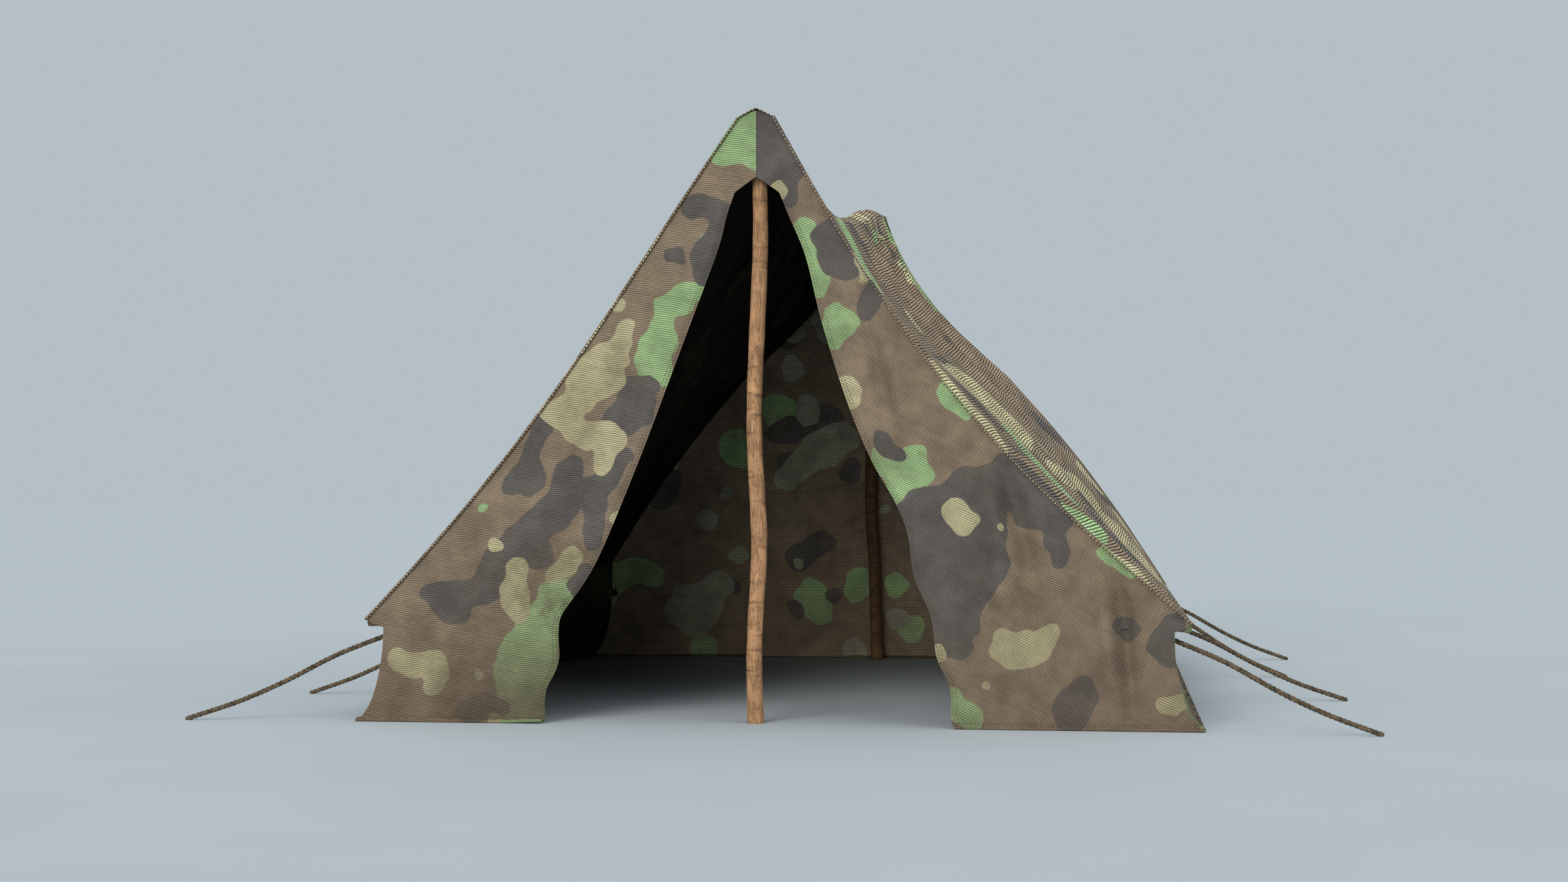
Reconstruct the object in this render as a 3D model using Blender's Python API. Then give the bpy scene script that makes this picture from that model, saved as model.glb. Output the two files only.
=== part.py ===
"""Two-pole ridge tent in camouflage canvas, with low flared walls, a folded eave, an open gable doorway and guy ropes.

Metres, +Z up. The origin is on the ground in the middle of the footprint, the doorway faces -Y and +X is its right.
Every cloth panel, hem, tape, pole, rope, eyelet, knot and peg is an object of its own.
"""

import math

import bmesh
import bpy
from mathutils import Matrix, Vector

LEFT, RIGHT = -1, 1
SIDE_NAMES = {LEFT: "left", RIGHT: "right"}

# Overall shape. The rear of the tent stands a little higher and a little narrower than the front.
LENGTH = 3.06
RIDGE_HEIGHT_FRONT = 2.0
RIDGE_HEIGHT_REAR = 2.03
RIDGE_SAG = 0.17
RIDGE_X_FRONT = -0.035
RIDGE_X_REAR = -0.015
EAVE_HALF_FRONT = 1.35
EAVE_HALF_REAR = 1.29
EAVE_HEIGHT = 0.337
EAVE_LIP = 0.024

# Ridge cap: the strip that covers the ridge, bent over the pole tops.
CAP_HALF = 0.057
CAP_DROP = 0.028
CAP_CURVE = 1.15
CAP_STEPS = 4

# How far each roof slope hangs in from a straight line, and where along the slope it hangs furthest.
SAG_FRONT = {LEFT: 0.055, RIGHT: 0.12}
SAG_FRONT_POWER = {LEFT: 1.3, RIGHT: 1.0}
SAG_MIDDLE = 0.12
SAG_REAR_DIP = 0.07
SAG_REAR_BULGE = 0.03
SAG_REAR_POWER = 0.85
SAG_FADE = 1.5

# Walls: the wall hangs inside the eave and flares out to its foot.
WALL_INSET = 0.06
WALL_FLARE = 0.095
WALL_FLARE_FOOT = 0.3
WALL_DROP = 0.31
WALL_TOP_CLEAR = 0.008

# Cloth and what is sewn to it.
CLOTH = 0.003
GAP = 0.0005
SEAM = 0.001
EDGE = 0.02
OVERLAP = 0.008
SLOPE_START = 0.006
HEM_WIDTH = 0.026
HEM_HEIGHT = 0.0115
TAPE = 0.002
TAPE_WIDTH = 0.025
BINDING_WIDTH = 0.02
ROOF_ROWS = 12
ROOF_BAYS = 10
WALL_ROWS = 6

# Doorway, in the front gable: its notch below the ridge, its two edges and the lines that its flaps fold along.
# An edge's points are its distance from the middle and its height as a share of the doorway's.
DOOR_BELOW_RIDGE = 0.222
NOTCH_HALF = 0.073
NOTCH_DROP = 0.051
DOOR_EDGE = {
    LEFT: [(0.146, 0.9), (0.273, 0.707), (0.395, 0.528), (0.52, 0.36), (0.672, 0.208), (0.705, 0.107), (0.752, 0.0)],
    RIGHT: [(0.09, 0.9), (0.176, 0.734), (0.275, 0.562), (0.41, 0.405), (0.468, 0.281), (0.536, 0.163), (0.596, 0.0)],
}
DOOR_EDGE_STEPS = 3
FOLD_FROM_WALL = {LEFT: 0.185, RIGHT: 0.215}
FOLD_CLEAR = 0.004
FLAP_BELOW_DOOR_TOP = 0.138
FLAP_LIFT = 0.006
FLAP_HEM_INSET = 0.02

# Poles: peeled branches, thicker at the foot, with a flat foot and a rounded tip in a sewn cup. A bow's points are the
# height, as a share of the length below the cup, and how far the branch strays sideways there.
POLE_RADIUS = 0.027
POLE_TIP_RADIUS = 0.0255
POLE_SIDES = 12
POLE_RINGS = 17
POLE_INSET_FOOT = 0.105
POLE_INSET_TIP = 0.055
FRONT_POLE_BOW = [(0.0, -0.024), (0.085, -0.028), (0.17, -0.024), (0.32, -0.008), (0.52, -0.022), (0.69, -0.01), (0.85, 0.003)]
REAR_POLE_BOW = [(0.0, 0.027), (0.115, 0.018), (0.235, 0.012), (0.33, 0.0), (0.48, 0.001), (0.65, 0.014), (0.84, 0.004)]
CUP_WALL = 0.004
CUP_CLEAR = 0.0015
CUP_LENGTH = 0.055
CUP_UNDER_RIDGE = 0.02

# Guy ropes, which run into the ground. Each row is a rope's foot from its eyelet: its drift to the rear and its reach
# out from the wall.
ROPE_RADIUS = 0.0085
ROPE_STEP = 0.05
ROPE_LIFT = 0.0003
EYELET_HEIGHT = 0.285
EYELET_FROM_END = 0.06
GUYS = {
    LEFT: [(-0.09, 0.66), (-0.07, 0.62), (0.1, 0.55), (0.13, 0.6)],
    RIGHT: [(-0.1, 0.62), (0.11, 0.63), (0.16, 0.5), (0.16, 0.58)],
}
GUY_ROUTE = [(0.0, 1.0), (0.14, 0.875), (0.29, 0.725), (0.52, 0.44), (0.75, 0.2), (1.0, 0.0)]
EYELET_BORE = ROPE_RADIUS + 0.0055
EYELET_BARREL = EYELET_BORE + 0.0025
EYELET_FLANGE = EYELET_BARREL + 0.0065
EYELET_PLATE = 0.0015
EYELET_SIDES = 12
EYELET_CLEAR = 0.0015
KNOT_RADIUS = 0.021
KNOT_INSET = 0.03

FRONT_Y = -LENGTH / 2
REAR_Y = LENGTH / 2

COLOURS = {
    "camouflage_canvas": ((0.16, 0.125, 0.095), 0.95, 0.0),
    "canvas_tape": ((0.13, 0.105, 0.075), 0.95, 0.0),
    "pole_wood": ((0.42, 0.26, 0.15), 0.75, 0.0),
    "leather_cup": ((0.16, 0.09, 0.05), 0.7, 0.0),
    "hemp_rope": ((0.20, 0.15, 0.10), 0.95, 0.0),
    "brass_eyelet": ((0.55, 0.42, 0.2), 0.4, 1.0),
}


def clear_scene():
    for found in list(bpy.data.objects):
        bpy.data.objects.remove(found, do_unlink=True)


def material(name):
    """The Principled material of that name, made once."""
    known = bpy.data.materials.get(name)
    if known:
        return known
    colour, roughness, metallic = COLOURS[name]
    made = bpy.data.materials.new(name)
    made.use_nodes = True
    shader = made.node_tree.nodes["Principled BSDF"]
    shader.inputs["Base Color"].default_value = (*colour, 1.0)
    shader.inputs["Roughness"].default_value = roughness
    shader.inputs["Metallic"].default_value = metallic
    return made


def add_mesh(name, points, faces, finish, origin=(0, 0, 0), smooth=True):
    """One object from points in the tent's frame, with its own origin at the given place."""
    mesh = bpy.data.meshes.new(name)
    place = Vector(origin)
    mesh.from_pydata([Vector(p) - place for p in points], [], faces)
    mesh.validate()
    tidy = bmesh.new()
    tidy.from_mesh(mesh)
    bmesh.ops.remove_doubles(tidy, verts=tidy.verts, dist=1e-6)
    bmesh.ops.recalc_face_normals(tidy, faces=tidy.faces)
    tidy.to_mesh(mesh)
    tidy.free()
    if smooth:
        mesh.shade_smooth()
        mesh.set_sharp_from_angle(angle=math.radians(35))
    made = bpy.data.objects.new(name, mesh)
    made.location = place
    made.data.materials.append(material(finish))
    bpy.context.scene.collection.objects.link(made)
    return made


def slab(name, outer, inner, finish):
    """A closed sheet between two grids of points, given as rows of equal length. Both grids are split alike into
    triangles, so that a twisted sheet keeps its thickness."""
    rows, cols = len(outer), len(outer[0])
    points = [p for row in outer for p in row] + [p for row in inner for p in row]
    under = rows * cols
    faces = []
    for i in range(rows - 1):
        for j in range(cols - 1):
            a, b, c, d = i * cols + j, i * cols + j + 1, (i + 1) * cols + j + 1, (i + 1) * cols + j
            faces += [(a, b, c), (a, c, d)]
            faces += [(under + c, under + b, under + a), (under + d, under + c, under + a)]
    rim = [j for j in range(cols)]
    rim += [i * cols + cols - 1 for i in range(1, rows)]
    rim += [(rows - 1) * cols + j for j in range(cols - 2, -1, -1)]
    rim += [i * cols for i in range(rows - 2, 0, -1)]
    for a, b in zip(rim, rim[1:] + rim[:1]):
        faces.append((b, a, under + a, under + b))
    return add_mesh(name, points, faces, finish)


def plate(name, outline, near_y, far_y, finish):
    """A flat sheet in the XZ plane with the given (x, z) outline, between two Y planes."""
    count = len(outline)
    points = [(x, near_y, z) for x, z in outline] + [(x, far_y, z) for x, z in outline]
    faces = [tuple(range(count)), tuple(range(2 * count - 1, count - 1, -1))]
    for i in range(count):
        j = (i + 1) % count
        faces.append((j, i, count + i, count + j))
    return add_mesh(name, points, faces, finish, smooth=False)


def loft(name, rings, finish, origin=(0, 0, 0)):
    """A closed solid through rings of points, capped at both ends and split into triangles as a sheet is."""
    sides = len(rings[0])
    points = [p for ring in rings for p in ring]
    faces = [tuple(range(sides - 1, -1, -1))]
    faces.append(tuple(range((len(rings) - 1) * sides, len(rings) * sides)))
    for i in range(len(rings) - 1):
        for j in range(sides):
            k = (j + 1) % sides
            a, b, c, d = i * sides + j, i * sides + k, (i + 1) * sides + k, (i + 1) * sides + j
            faces += [(a, b, c), (a, c, d)]
    return add_mesh(name, points, faces, finish, origin)


def smooth_line(points, step):
    """Points about a step apart on one smooth curve through the given points."""
    line = [Vector(p) for p in points]
    ends = [2 * line[0] - line[1]] + line + [2 * line[-1] - line[-2]]
    fine = []
    for a, b, c, d in zip(ends, ends[1:], ends[2:], ends[3:]):
        for k in range(24):
            s = k / 24
            bend = 2 * b + (c - a) * s + (2 * a - 5 * b + 4 * c - d) * s * s
            fine.append((bend + (3 * b - a - 3 * c + d) * s**3) / 2)
    fine.append(line[-1])
    along = [0.0]
    for a, b in zip(fine, fine[1:]):
        along.append(along[-1] + (b - a).length)
    count = max(2, round(along[-1] / step))
    spaced, k = [], 0
    for i in range(count + 1):
        at = along[-1] * i / count
        while k < len(along) - 2 and along[k + 1] < at:
            k += 1
        share = (at - along[k]) / max(along[k + 1] - along[k], 1e-12)
        spaced.append(fine[k].lerp(fine[k + 1], min(1.0, share)))
    return spaced


def mix(a, b, share):
    return a + (b - a) * share


# The tent's surfaces, as functions of the station along the tent (0 front, 1 rear) and the share down the slope.


def station(y):
    """Share of the length at y. It holds still over the last EDGE at each gable, where the section is constant."""
    return min(1.0, max(0.0, (y - FRONT_Y - EDGE) / (LENGTH - 2 * EDGE)))


def ridge_x(t):
    return mix(RIDGE_X_FRONT, RIDGE_X_REAR, t)


def ridge_z(t):
    return mix(RIDGE_HEIGHT_FRONT, RIDGE_HEIGHT_REAR, t) - RIDGE_SAG * 4 * t * (1 - t)


def eave_half(t):
    return mix(EAVE_HALF_FRONT, EAVE_HALF_REAR, t)


def cap_z(x, t):
    """Top of the ridge cap at x."""
    share = min(1.0, abs(x - ridge_x(t)) / CAP_HALF)
    return ridge_z(t) - CAP_DROP * share**CAP_CURVE


def slope_sag(side, t, v):
    front = SAG_FRONT[side] * math.sin(math.pi * v ** SAG_FRONT_POWER[side])
    wave = math.sin(2 * math.pi * v**SAG_REAR_POWER)
    rear = (SAG_REAR_DIP if wave > 0 else SAG_REAR_BULGE) * wave
    near, far = (1 - t) ** SAG_FADE, t**SAG_FADE
    return front * near + rear * far + SAG_MIDDLE * math.sin(math.pi * v) * (1 - near - far)


def slope_ends(side, t):
    top = Vector((ridge_x(t) + side * CAP_HALF, ridge_z(t) - CAP_DROP))
    eave = Vector((side * eave_half(t), EAVE_HEIGHT))
    return top, eave


def slope_point(side, t, v, out=0.0):
    """(x, z) on the roof slope, moved out from its outer surface by the given distance."""
    top, eave = slope_ends(side, t)
    chord = eave - top
    outward = Vector((-chord.y * side, chord.x * side)).normalized() * side
    outward = Vector((abs(outward.x) * side, abs(outward.y)))
    return top + chord * v + outward * (out - slope_sag(side, t, v))


def first_share(side, t):
    """Where a slope's cloth starts, just below the ridge cap's edge."""
    top, eave = slope_ends(side, t)
    return SLOPE_START / (eave - top).length


def slope_shares(side, t):
    start = first_share(side, t)
    return [mix(start, 1.0, i / ROOF_ROWS) for i in range(ROOF_ROWS + 1)]


def under_slope_z(side, t, x, out):
    """Height of the slope's offset surface above x, measured on its facets."""
    line = [slope_point(side, t, v, out) for v in slope_shares(side, t)]
    for a, b in zip(line, line[1:]):
        if min(a.x, b.x) <= x <= max(a.x, b.x):
            return mix(a.y, b.y, (x - a.x) / (b.x - a.x))
    return line[-1].y


def wall_x(t, z):
    """Distance of the wall's outer face from the middle plane at height z."""
    share = max(0.0, 1 - z / WALL_DROP)
    curve = (1 - WALL_FLARE_FOOT) * share**2 + WALL_FLARE_FOOT * share**10
    return eave_half(t) - WALL_INSET + WALL_FLARE * curve


def bays(near, far, count):
    return [mix(near, far, i / count) for i in range(count + 1)]


def roof_stations():
    """Y of each row of the roof: a constant strip at each gable and even bays between."""
    inner = bays(FRONT_Y + EDGE, REAR_Y - EDGE, ROOF_BAYS)
    return [FRONT_Y - OVERLAP] + inner + [REAR_Y + OVERLAP]


def stations_inside():
    """The roof's rows, cut short to lie between the two gable sheets."""
    return [FRONT_Y + CLOTH + GAP] + roof_stations()[1:-1] + [REAR_Y - CLOTH - GAP]


def make_roof(side):
    outer, inner = [], []
    for y in roof_stations():
        t = station(y)
        for grid, out in ((outer, 0.0), (inner, -CLOTH)):
            line = [slope_point(side, t, v, out) for v in slope_shares(side, t)]
            grid.append([(p.x, y, p.y) for p in line])
    slab(f"roof_{SIDE_NAMES[side]}", outer, inner, "camouflage_canvas")


def make_ridge_cap():
    outer, inner = [], []
    for y in roof_stations():
        t = station(y)
        half = CAP_HALF - GAP
        across = [ridge_x(t) + mix(-half, half, i / CAP_STEPS) for i in range(CAP_STEPS + 1)]
        outer.append([(x, y, cap_z(x, t)) for x in across])
        inner.append([(x, y, cap_z(x, t) - CLOTH) for x in across])
    slab("ridge_cap", outer, inner, "camouflage_canvas")


def make_gable_binding(side, rear):
    """The bound edge along a gable: a tape on the roof's outer face."""
    ends = (REAR_Y - BINDING_WIDTH + OVERLAP, REAR_Y + OVERLAP) if rear else (FRONT_Y - OVERLAP, FRONT_Y + BINDING_WIDTH - OVERLAP)
    t = 1.0 if rear else 0.0
    grids = []
    for out in (GAP + TAPE, GAP):
        line = [slope_point(side, t, v, out) for v in slope_shares(side, t)]
        grids.append([[(p.x, y, p.y) for p in line] for y in ends])
    where = "rear" if rear else "front"
    slab(f"gable_binding_{where}_{SIDE_NAMES[side]}", grids[0], grids[1], "canvas_tape")


def make_eave_hem(side):
    """The eave folded under and back to the wall, with a flat underside."""
    rings = []
    floor = EAVE_HEIGHT - EAVE_LIP
    for y in stations_inside():
        t = station(y)
        wall = side * (wall_x(t, WALL_DROP) + SEAM)
        tip = side * (eave_half(t) - 2 * CLOTH)
        drop = CLOTH + 3 * SEAM
        ring = [
            (wall, y, under_slope_z(side, t, wall, -drop)),
            (tip, y, under_slope_z(side, t, tip, -drop)),
            (tip - side * CLOTH, y, floor),
            (wall, y, floor),
        ]
        rings.append(ring)
    loft(f"eave_hem_{SIDE_NAMES[side]}", rings, "camouflage_canvas")


def cylinder_along_x(name, centre, radius, reach):
    """A guide cylinder that cuts and isn't part of the tent."""
    cutter = bmesh.new()
    turn = Matrix.Rotation(math.pi / 2, 4, "Y")
    bmesh.ops.create_cone(
        cutter, cap_ends=True, segments=EYELET_SIDES, radius1=radius, radius2=radius, depth=reach, matrix=turn
    )
    mesh = bpy.data.meshes.new(name)
    cutter.to_mesh(mesh)
    cutter.free()
    made = bpy.data.objects.new(name, mesh)
    made.location = centre
    made.hide_render = True
    made.display_type = "WIRE"
    bpy.context.scene.collection.objects.link(made)
    return made


def make_side_wall(side):
    """The low wall, from under the roof to its bottom hem, with a hole for each eyelet."""
    outer, inner = [], []
    for y in stations_inside():
        t = station(y)
        top = under_slope_z(side, t, side * wall_x(t, WALL_DROP), -CLOTH) - WALL_TOP_CLEAR
        heights = [mix(HEM_HEIGHT + GAP, WALL_DROP, i / WALL_ROWS) for i in range(WALL_ROWS + 1)] + [top]
        outer.append([(side * wall_x(t, z), y, z) for z in heights])
        inner.append([(side * (wall_x(t, z) - CLOTH), y, z) for z in heights])
    wall = slab(f"side_wall_{SIDE_NAMES[side]}", outer, inner, "camouflage_canvas")
    for number in range(1, len(GUYS[side]) + 1):
        hole = cylinder_along_x(
            f"hole_{SIDE_NAMES[side]}_{number}", eyelet_place(side, number), EYELET_BARREL + EYELET_CLEAR, 20 * CLOTH
        )
        cut = wall.modifiers.new(f"eyelet_{number}", "BOOLEAN")
        cut.operation = "DIFFERENCE"
        cut.object = hole


def make_wall_hem(side):
    """The thick bottom hem that the wall stands on."""
    rings = []
    for y in (FRONT_Y + CLOTH + GAP, 0.0, REAR_Y - CLOTH - GAP):
        foot = wall_x(station(y), 0.0) + SEAM
        inside = foot - HEM_WIDTH
        rings.append([(side * inside, y, 0.0), (side * foot, y, 0.0), (side * foot, y, HEM_HEIGHT), (side * inside, y, HEM_HEIGHT)])
    loft(f"wall_hem_{SIDE_NAMES[side]}", rings, "camouflage_canvas")


def gable_edge(side, t):
    """Outline of a gable sheet from the ridge, under the cap and the slope, round the eave and down to the ground."""
    clear = CLOTH + 2 * GAP
    under_cap = CLOTH + GAP
    start = ridge_x(t)
    line = []
    for i in range(CAP_STEPS // 2):
        x = start + side * (CAP_HALF - GAP) * i / (CAP_STEPS // 2)
        line.append((x, cap_z(x, t) - under_cap))
    last = start + side * (CAP_HALF - CLOTH - GAP)
    line.append((last, cap_z(last, t) - under_cap - GAP))
    line += [tuple(slope_point(side, t, v, -clear)) for v in slope_shares(side, t)]
    eave_floor = EAVE_HEIGHT - EAVE_LIP
    line.append((side * (eave_half(t) - 2 * CLOTH), eave_floor))
    for i in range(WALL_ROWS + 1):
        z = mix(eave_floor, 0.0, i / WALL_ROWS)
        line.append((side * wall_x(t, z), z))
    return line


def make_rear_wall():
    right = gable_edge(RIGHT, 1.0)
    left = gable_edge(LEFT, 1.0)
    plate("rear_wall", right + left[:0:-1], REAR_Y - CLOTH, REAR_Y, "camouflage_canvas")


def make_rear_hem():
    half = wall_x(1.0, HEM_HEIGHT) - CLOTH
    outline = [(-half, 0.0), (half, 0.0), (half, HEM_HEIGHT), (-half, HEM_HEIGHT)]
    plate("rear_hem", outline, REAR_Y + GAP, REAR_Y + OVERLAP - GAP, "canvas_tape")


def door_top():
    return RIDGE_HEIGHT_FRONT - DOOR_BELOW_RIDGE


def fold_x(side, z, clear=0.0):
    """X of a flap's fold line at height z, moved towards the doorway by the given clearance."""
    foot_x = side * (wall_x(0.0, 0.0) - FOLD_FROM_WALL[side])
    shoulder_x = RIDGE_X_FRONT + side * NOTCH_HALF
    lean = (foot_x - shoulder_x) / (door_top() - NOTCH_DROP)
    level = clear * math.hypot(1.0, lean)
    return foot_x - lean * z - side * level


def fold_axis(side):
    """The fold line's foot, and its direction. A positive turn swings either flap outwards, to -Y."""
    foot = Vector((fold_x(side, 0.0), FRONT_Y + CLOTH / 2, 0.0))
    head = Vector((fold_x(side, 1.0), FRONT_Y + CLOTH / 2, 1.0))
    direction = (head - foot).normalized()
    return foot, direction if side == RIGHT else -direction


def make_front_panel(side):
    """The fixed part of the front gable: from the middle seam and the notch to the flap's fold line."""
    edge = gable_edge(side, 0.0)
    seam = RIDGE_X_FRONT + side * SEAM / 2
    outline = [(seam, edge[0][1])] + edge[1:]
    outline.append((fold_x(side, 0.0, -FOLD_CLEAR), 0.0))
    shoulder = door_top() - NOTCH_DROP
    outline.append((fold_x(side, shoulder, -FOLD_CLEAR), shoulder))
    outline.append((seam, door_top()))
    plate(f"front_panel_{SIDE_NAMES[side]}", outline, FRONT_Y, FRONT_Y + CLOTH, "camouflage_canvas")


def door_edge(side):
    """Points (x, z) down the flap's free edge, on one smooth curve."""
    chosen = [(side * x, 0.0, share * door_top()) for x, share in DOOR_EDGE[side]]
    length = sum((Vector(b) - Vector(a)).length for a, b in zip(chosen, chosen[1:]))
    step = length / (DOOR_EDGE_STEPS * (len(chosen) - 1))
    return [(p.x, max(FLAP_LIFT, p.z)) for p in smooth_line(chosen, step)]


def hang_on_fold(made, side):
    """Parents a flap's piece to an empty on the fold line."""
    name = f"door_{SIDE_NAMES[side]}_fold"
    fold = bpy.data.objects.get(name)
    if fold is None:
        foot, direction = fold_axis(side)
        fold = bpy.data.objects.new(name, None)
        fold.location = foot
        fold.rotation_mode = "QUATERNION"
        fold.rotation_quaternion = direction.to_track_quat("Z", "Y")
        bpy.context.scene.collection.objects.link(fold)
        bpy.context.view_layer.update()
    made.parent = fold
    made.matrix_parent_inverse = fold.matrix_world.inverted()


def make_door_flap(side):
    edge = door_edge(side)
    tip = door_top() - FLAP_BELOW_DOOR_TOP
    outline = [(fold_x(side, tip, FOLD_CLEAR), tip)]
    outline += edge
    outline.append((fold_x(side, FLAP_LIFT, FOLD_CLEAR), FLAP_LIFT))
    flap = plate(f"door_flap_{SIDE_NAMES[side]}", outline, FRONT_Y, FRONT_Y + CLOTH, "camouflage_canvas")
    hang_on_fold(flap, side)


def make_door_binding(side):
    """The tape sewn behind the flap's free edge."""
    edge = door_edge(side)[1:-1]
    inner = [(x + side * TAPE_WIDTH, z) for x, z in edge]
    near = FRONT_Y + CLOTH + GAP
    binding = plate(f"door_binding_{SIDE_NAMES[side]}", edge + inner[::-1], near, near + TAPE, "canvas_tape")
    hang_on_fold(binding, side)


def make_front_hems(side):
    """The bottom hems on the gable's outer face: one on the fixed panel and one that goes with the flap."""
    name = SIDE_NAMES[side]
    near, far = FRONT_Y - OVERLAP + GAP, FRONT_Y - GAP
    outside = side * (wall_x(0.0, HEM_HEIGHT) - CLOTH)
    fixed_end = fold_x(side, 0.0) + side * FLAP_HEM_INSET
    outline = [(outside, 0.0), (fixed_end, 0.0), (fixed_end, HEM_HEIGHT), (outside, HEM_HEIGHT)]
    plate(f"front_hem_{name}", outline, near, far, "canvas_tape")
    flap_end = fold_x(side, 0.0) - side * 2 * FLAP_HEM_INSET
    free_end = door_edge(side)[-1][0] + side * FLAP_HEM_INSET
    low, high = FLAP_LIFT, FLAP_LIFT + HEM_HEIGHT
    outline = [(flap_end, low), (free_end, low), (free_end, high), (flap_end, high)]
    hem = plate(f"door_hem_{name}", outline, near, far, "canvas_tape")
    hang_on_fold(hem, side)


def make_front_seam_tape():
    """The tape behind the seam that joins the two front panels above the doorway."""
    half = TAPE_WIDTH / 2
    low = door_top() + HEM_HEIGHT
    high = cap_z(RIDGE_X_FRONT + half, 0.0) - 2 * CLOTH
    outline = [(RIDGE_X_FRONT - half, low), (RIDGE_X_FRONT + half, low), (RIDGE_X_FRONT + half, high), (RIDGE_X_FRONT - half, high)]
    near = FRONT_Y + CLOTH + GAP
    plate("front_seam_tape", outline, near, near + TAPE, "canvas_tape")


def pole_place(rear):
    """Where a pole's tip stands under the ridge: (x, y, the top of its cup)."""
    y = REAR_Y - POLE_INSET_TIP if rear else FRONT_Y + POLE_INSET_TIP
    t = station(y)
    return ridge_x(t), y, ridge_z(t) - CUP_UNDER_RIDGE


def make_pole(rear):
    """A bent branch that leans from its foot to its tip, the last stretch straight up into the cup."""
    tip_x, tip_y, cup_top = pole_place(rear)
    foot_y = REAR_Y - POLE_INSET_FOOT if rear else FRONT_Y + POLE_INSET_FOOT
    top = cup_top - CUP_WALL - CUP_CLEAR
    straight = top - 1.5 * CUP_LENGTH
    bow = REAR_POLE_BOW if rear else FRONT_POLE_BOW
    route = [(tip_x + x, mix(foot_y, tip_y, share), share * straight) for share, x in bow]
    route += [(tip_x, tip_y, straight), (tip_x, tip_y, mix(straight, top, 0.5)), (tip_x, tip_y, top)]
    line = smooth_line(route, top / POLE_RINGS)
    line[0].z = 0.0
    line[-1] = Vector((tip_x, tip_y, top))
    rings = []
    for i, centre in enumerate(line):
        radius = mix(POLE_RADIUS, POLE_TIP_RADIUS, min(1.0, centre.z / straight))
        if i == len(line) - 1:
            radius *= 0.7
        ring = []
        for k in range(POLE_SIDES):
            angle = 2 * math.pi * k / POLE_SIDES
            ring.append(centre + Vector((radius * math.cos(angle), radius * math.sin(angle), 0.0)))
        rings.append(ring)
    loft("rear_pole" if rear else "front_pole", rings, "pole_wood", origin=(line[0].x, line[0].y, 0.0))


def make_pole_cup(rear):
    """The turned cup, sewn under the ridge, that takes a pole's tip."""
    x, y, top = pole_place(rear)
    inner = POLE_TIP_RADIUS + CUP_CLEAR
    outer = inner + CUP_WALL
    rise = CUP_CLEAR + 0.25 * POLE_TIP_RADIUS
    profile = [
        (0.0, top),
        (0.6 * outer, top - 0.004),
        (outer, top - rise - CUP_WALL),
        (outer, top - CUP_LENGTH),
        (inner, top - CUP_LENGTH),
        (inner, top - CUP_WALL),
        (0.0, top - CUP_WALL),
    ]
    turned = bmesh.new()
    line = [turned.verts.new((r, 0.0, z - top)) for r, z in profile]
    edges = [turned.edges.new(pair) for pair in zip(line, line[1:])]
    bmesh.ops.spin(
        turned, geom=line + edges, cent=(0, 0, 0), axis=(0, 0, 1), angle=2 * math.pi, steps=POLE_SIDES + 2
    )
    bmesh.ops.remove_doubles(turned, verts=turned.verts, dist=1e-5)
    bmesh.ops.recalc_face_normals(turned, faces=turned.faces)
    name = "rear_pole_cup" if rear else "front_pole_cup"
    mesh = bpy.data.meshes.new(name)
    turned.to_mesh(mesh)
    turned.free()
    mesh.shade_smooth()
    mesh.set_sharp_from_angle(angle=math.radians(35))
    cup = bpy.data.objects.new(name, mesh)
    cup.location = (x, y, top)
    cup.data.materials.append(material("leather_cup"))
    bpy.context.scene.collection.objects.link(cup)


# Guy ropes and what holds them.


def eyelet_place(side, number):
    """Centre of an eyelet on the middle of the wall's cloth. The eyelets are evenly spaced."""
    share = (number - 1) / (len(GUYS[side]) - 1)
    y = mix(FRONT_Y + EYELET_FROM_END, REAR_Y - EYELET_FROM_END, share)
    x = side * (wall_x(station(y), EYELET_HEIGHT) - CLOTH / 2)
    return Vector((x, y, EYELET_HEIGHT))


def outer_route(side, number):
    """Points of a rope's middle line from its eyelet to its foot on the ground."""
    start = eyelet_place(side, number)
    drift, reach = GUYS[side][number - 1]
    low = ROPE_RADIUS + ROPE_LIFT
    return [Vector((start.x + side * reach * out, start.y + drift * out, mix(low, start.z, up))) for out, up in GUY_ROUTE]


def knot_centre(side, number):
    route = outer_route(side, number)
    return route[0] - (route[1] - route[0]).normalized() * KNOT_INSET


def guy_route(side, number):
    """Points of a rope's middle line, from its knot inside the wall to its foot on the ground."""
    route = outer_route(side, number)
    along = (route[1] - route[0]).normalized()
    start = knot_centre(side, number) + along * (KNOT_RADIUS + 2 * GAP)
    return smooth_line([start] + route, ROPE_STEP)


def make_rope(side, number):
    line = guy_route(side, number)
    curve = bpy.data.curves.new(f"guy_rope_{SIDE_NAMES[side]}_{number}", "CURVE")
    curve.dimensions = "3D"
    curve.bevel_depth = ROPE_RADIUS
    curve.bevel_resolution = 2
    curve.use_fill_caps = True
    spline = curve.splines.new("POLY")
    spline.points.add(len(line) - 1)
    for point, place in zip(spline.points, line):
        point.co = (*(place - line[0]), 1.0)
    rope = bpy.data.objects.new(curve.name, curve)
    rope.location = line[0]
    rope.data.materials.append(material("hemp_rope"))
    bpy.context.scene.collection.objects.link(rope)


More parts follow.
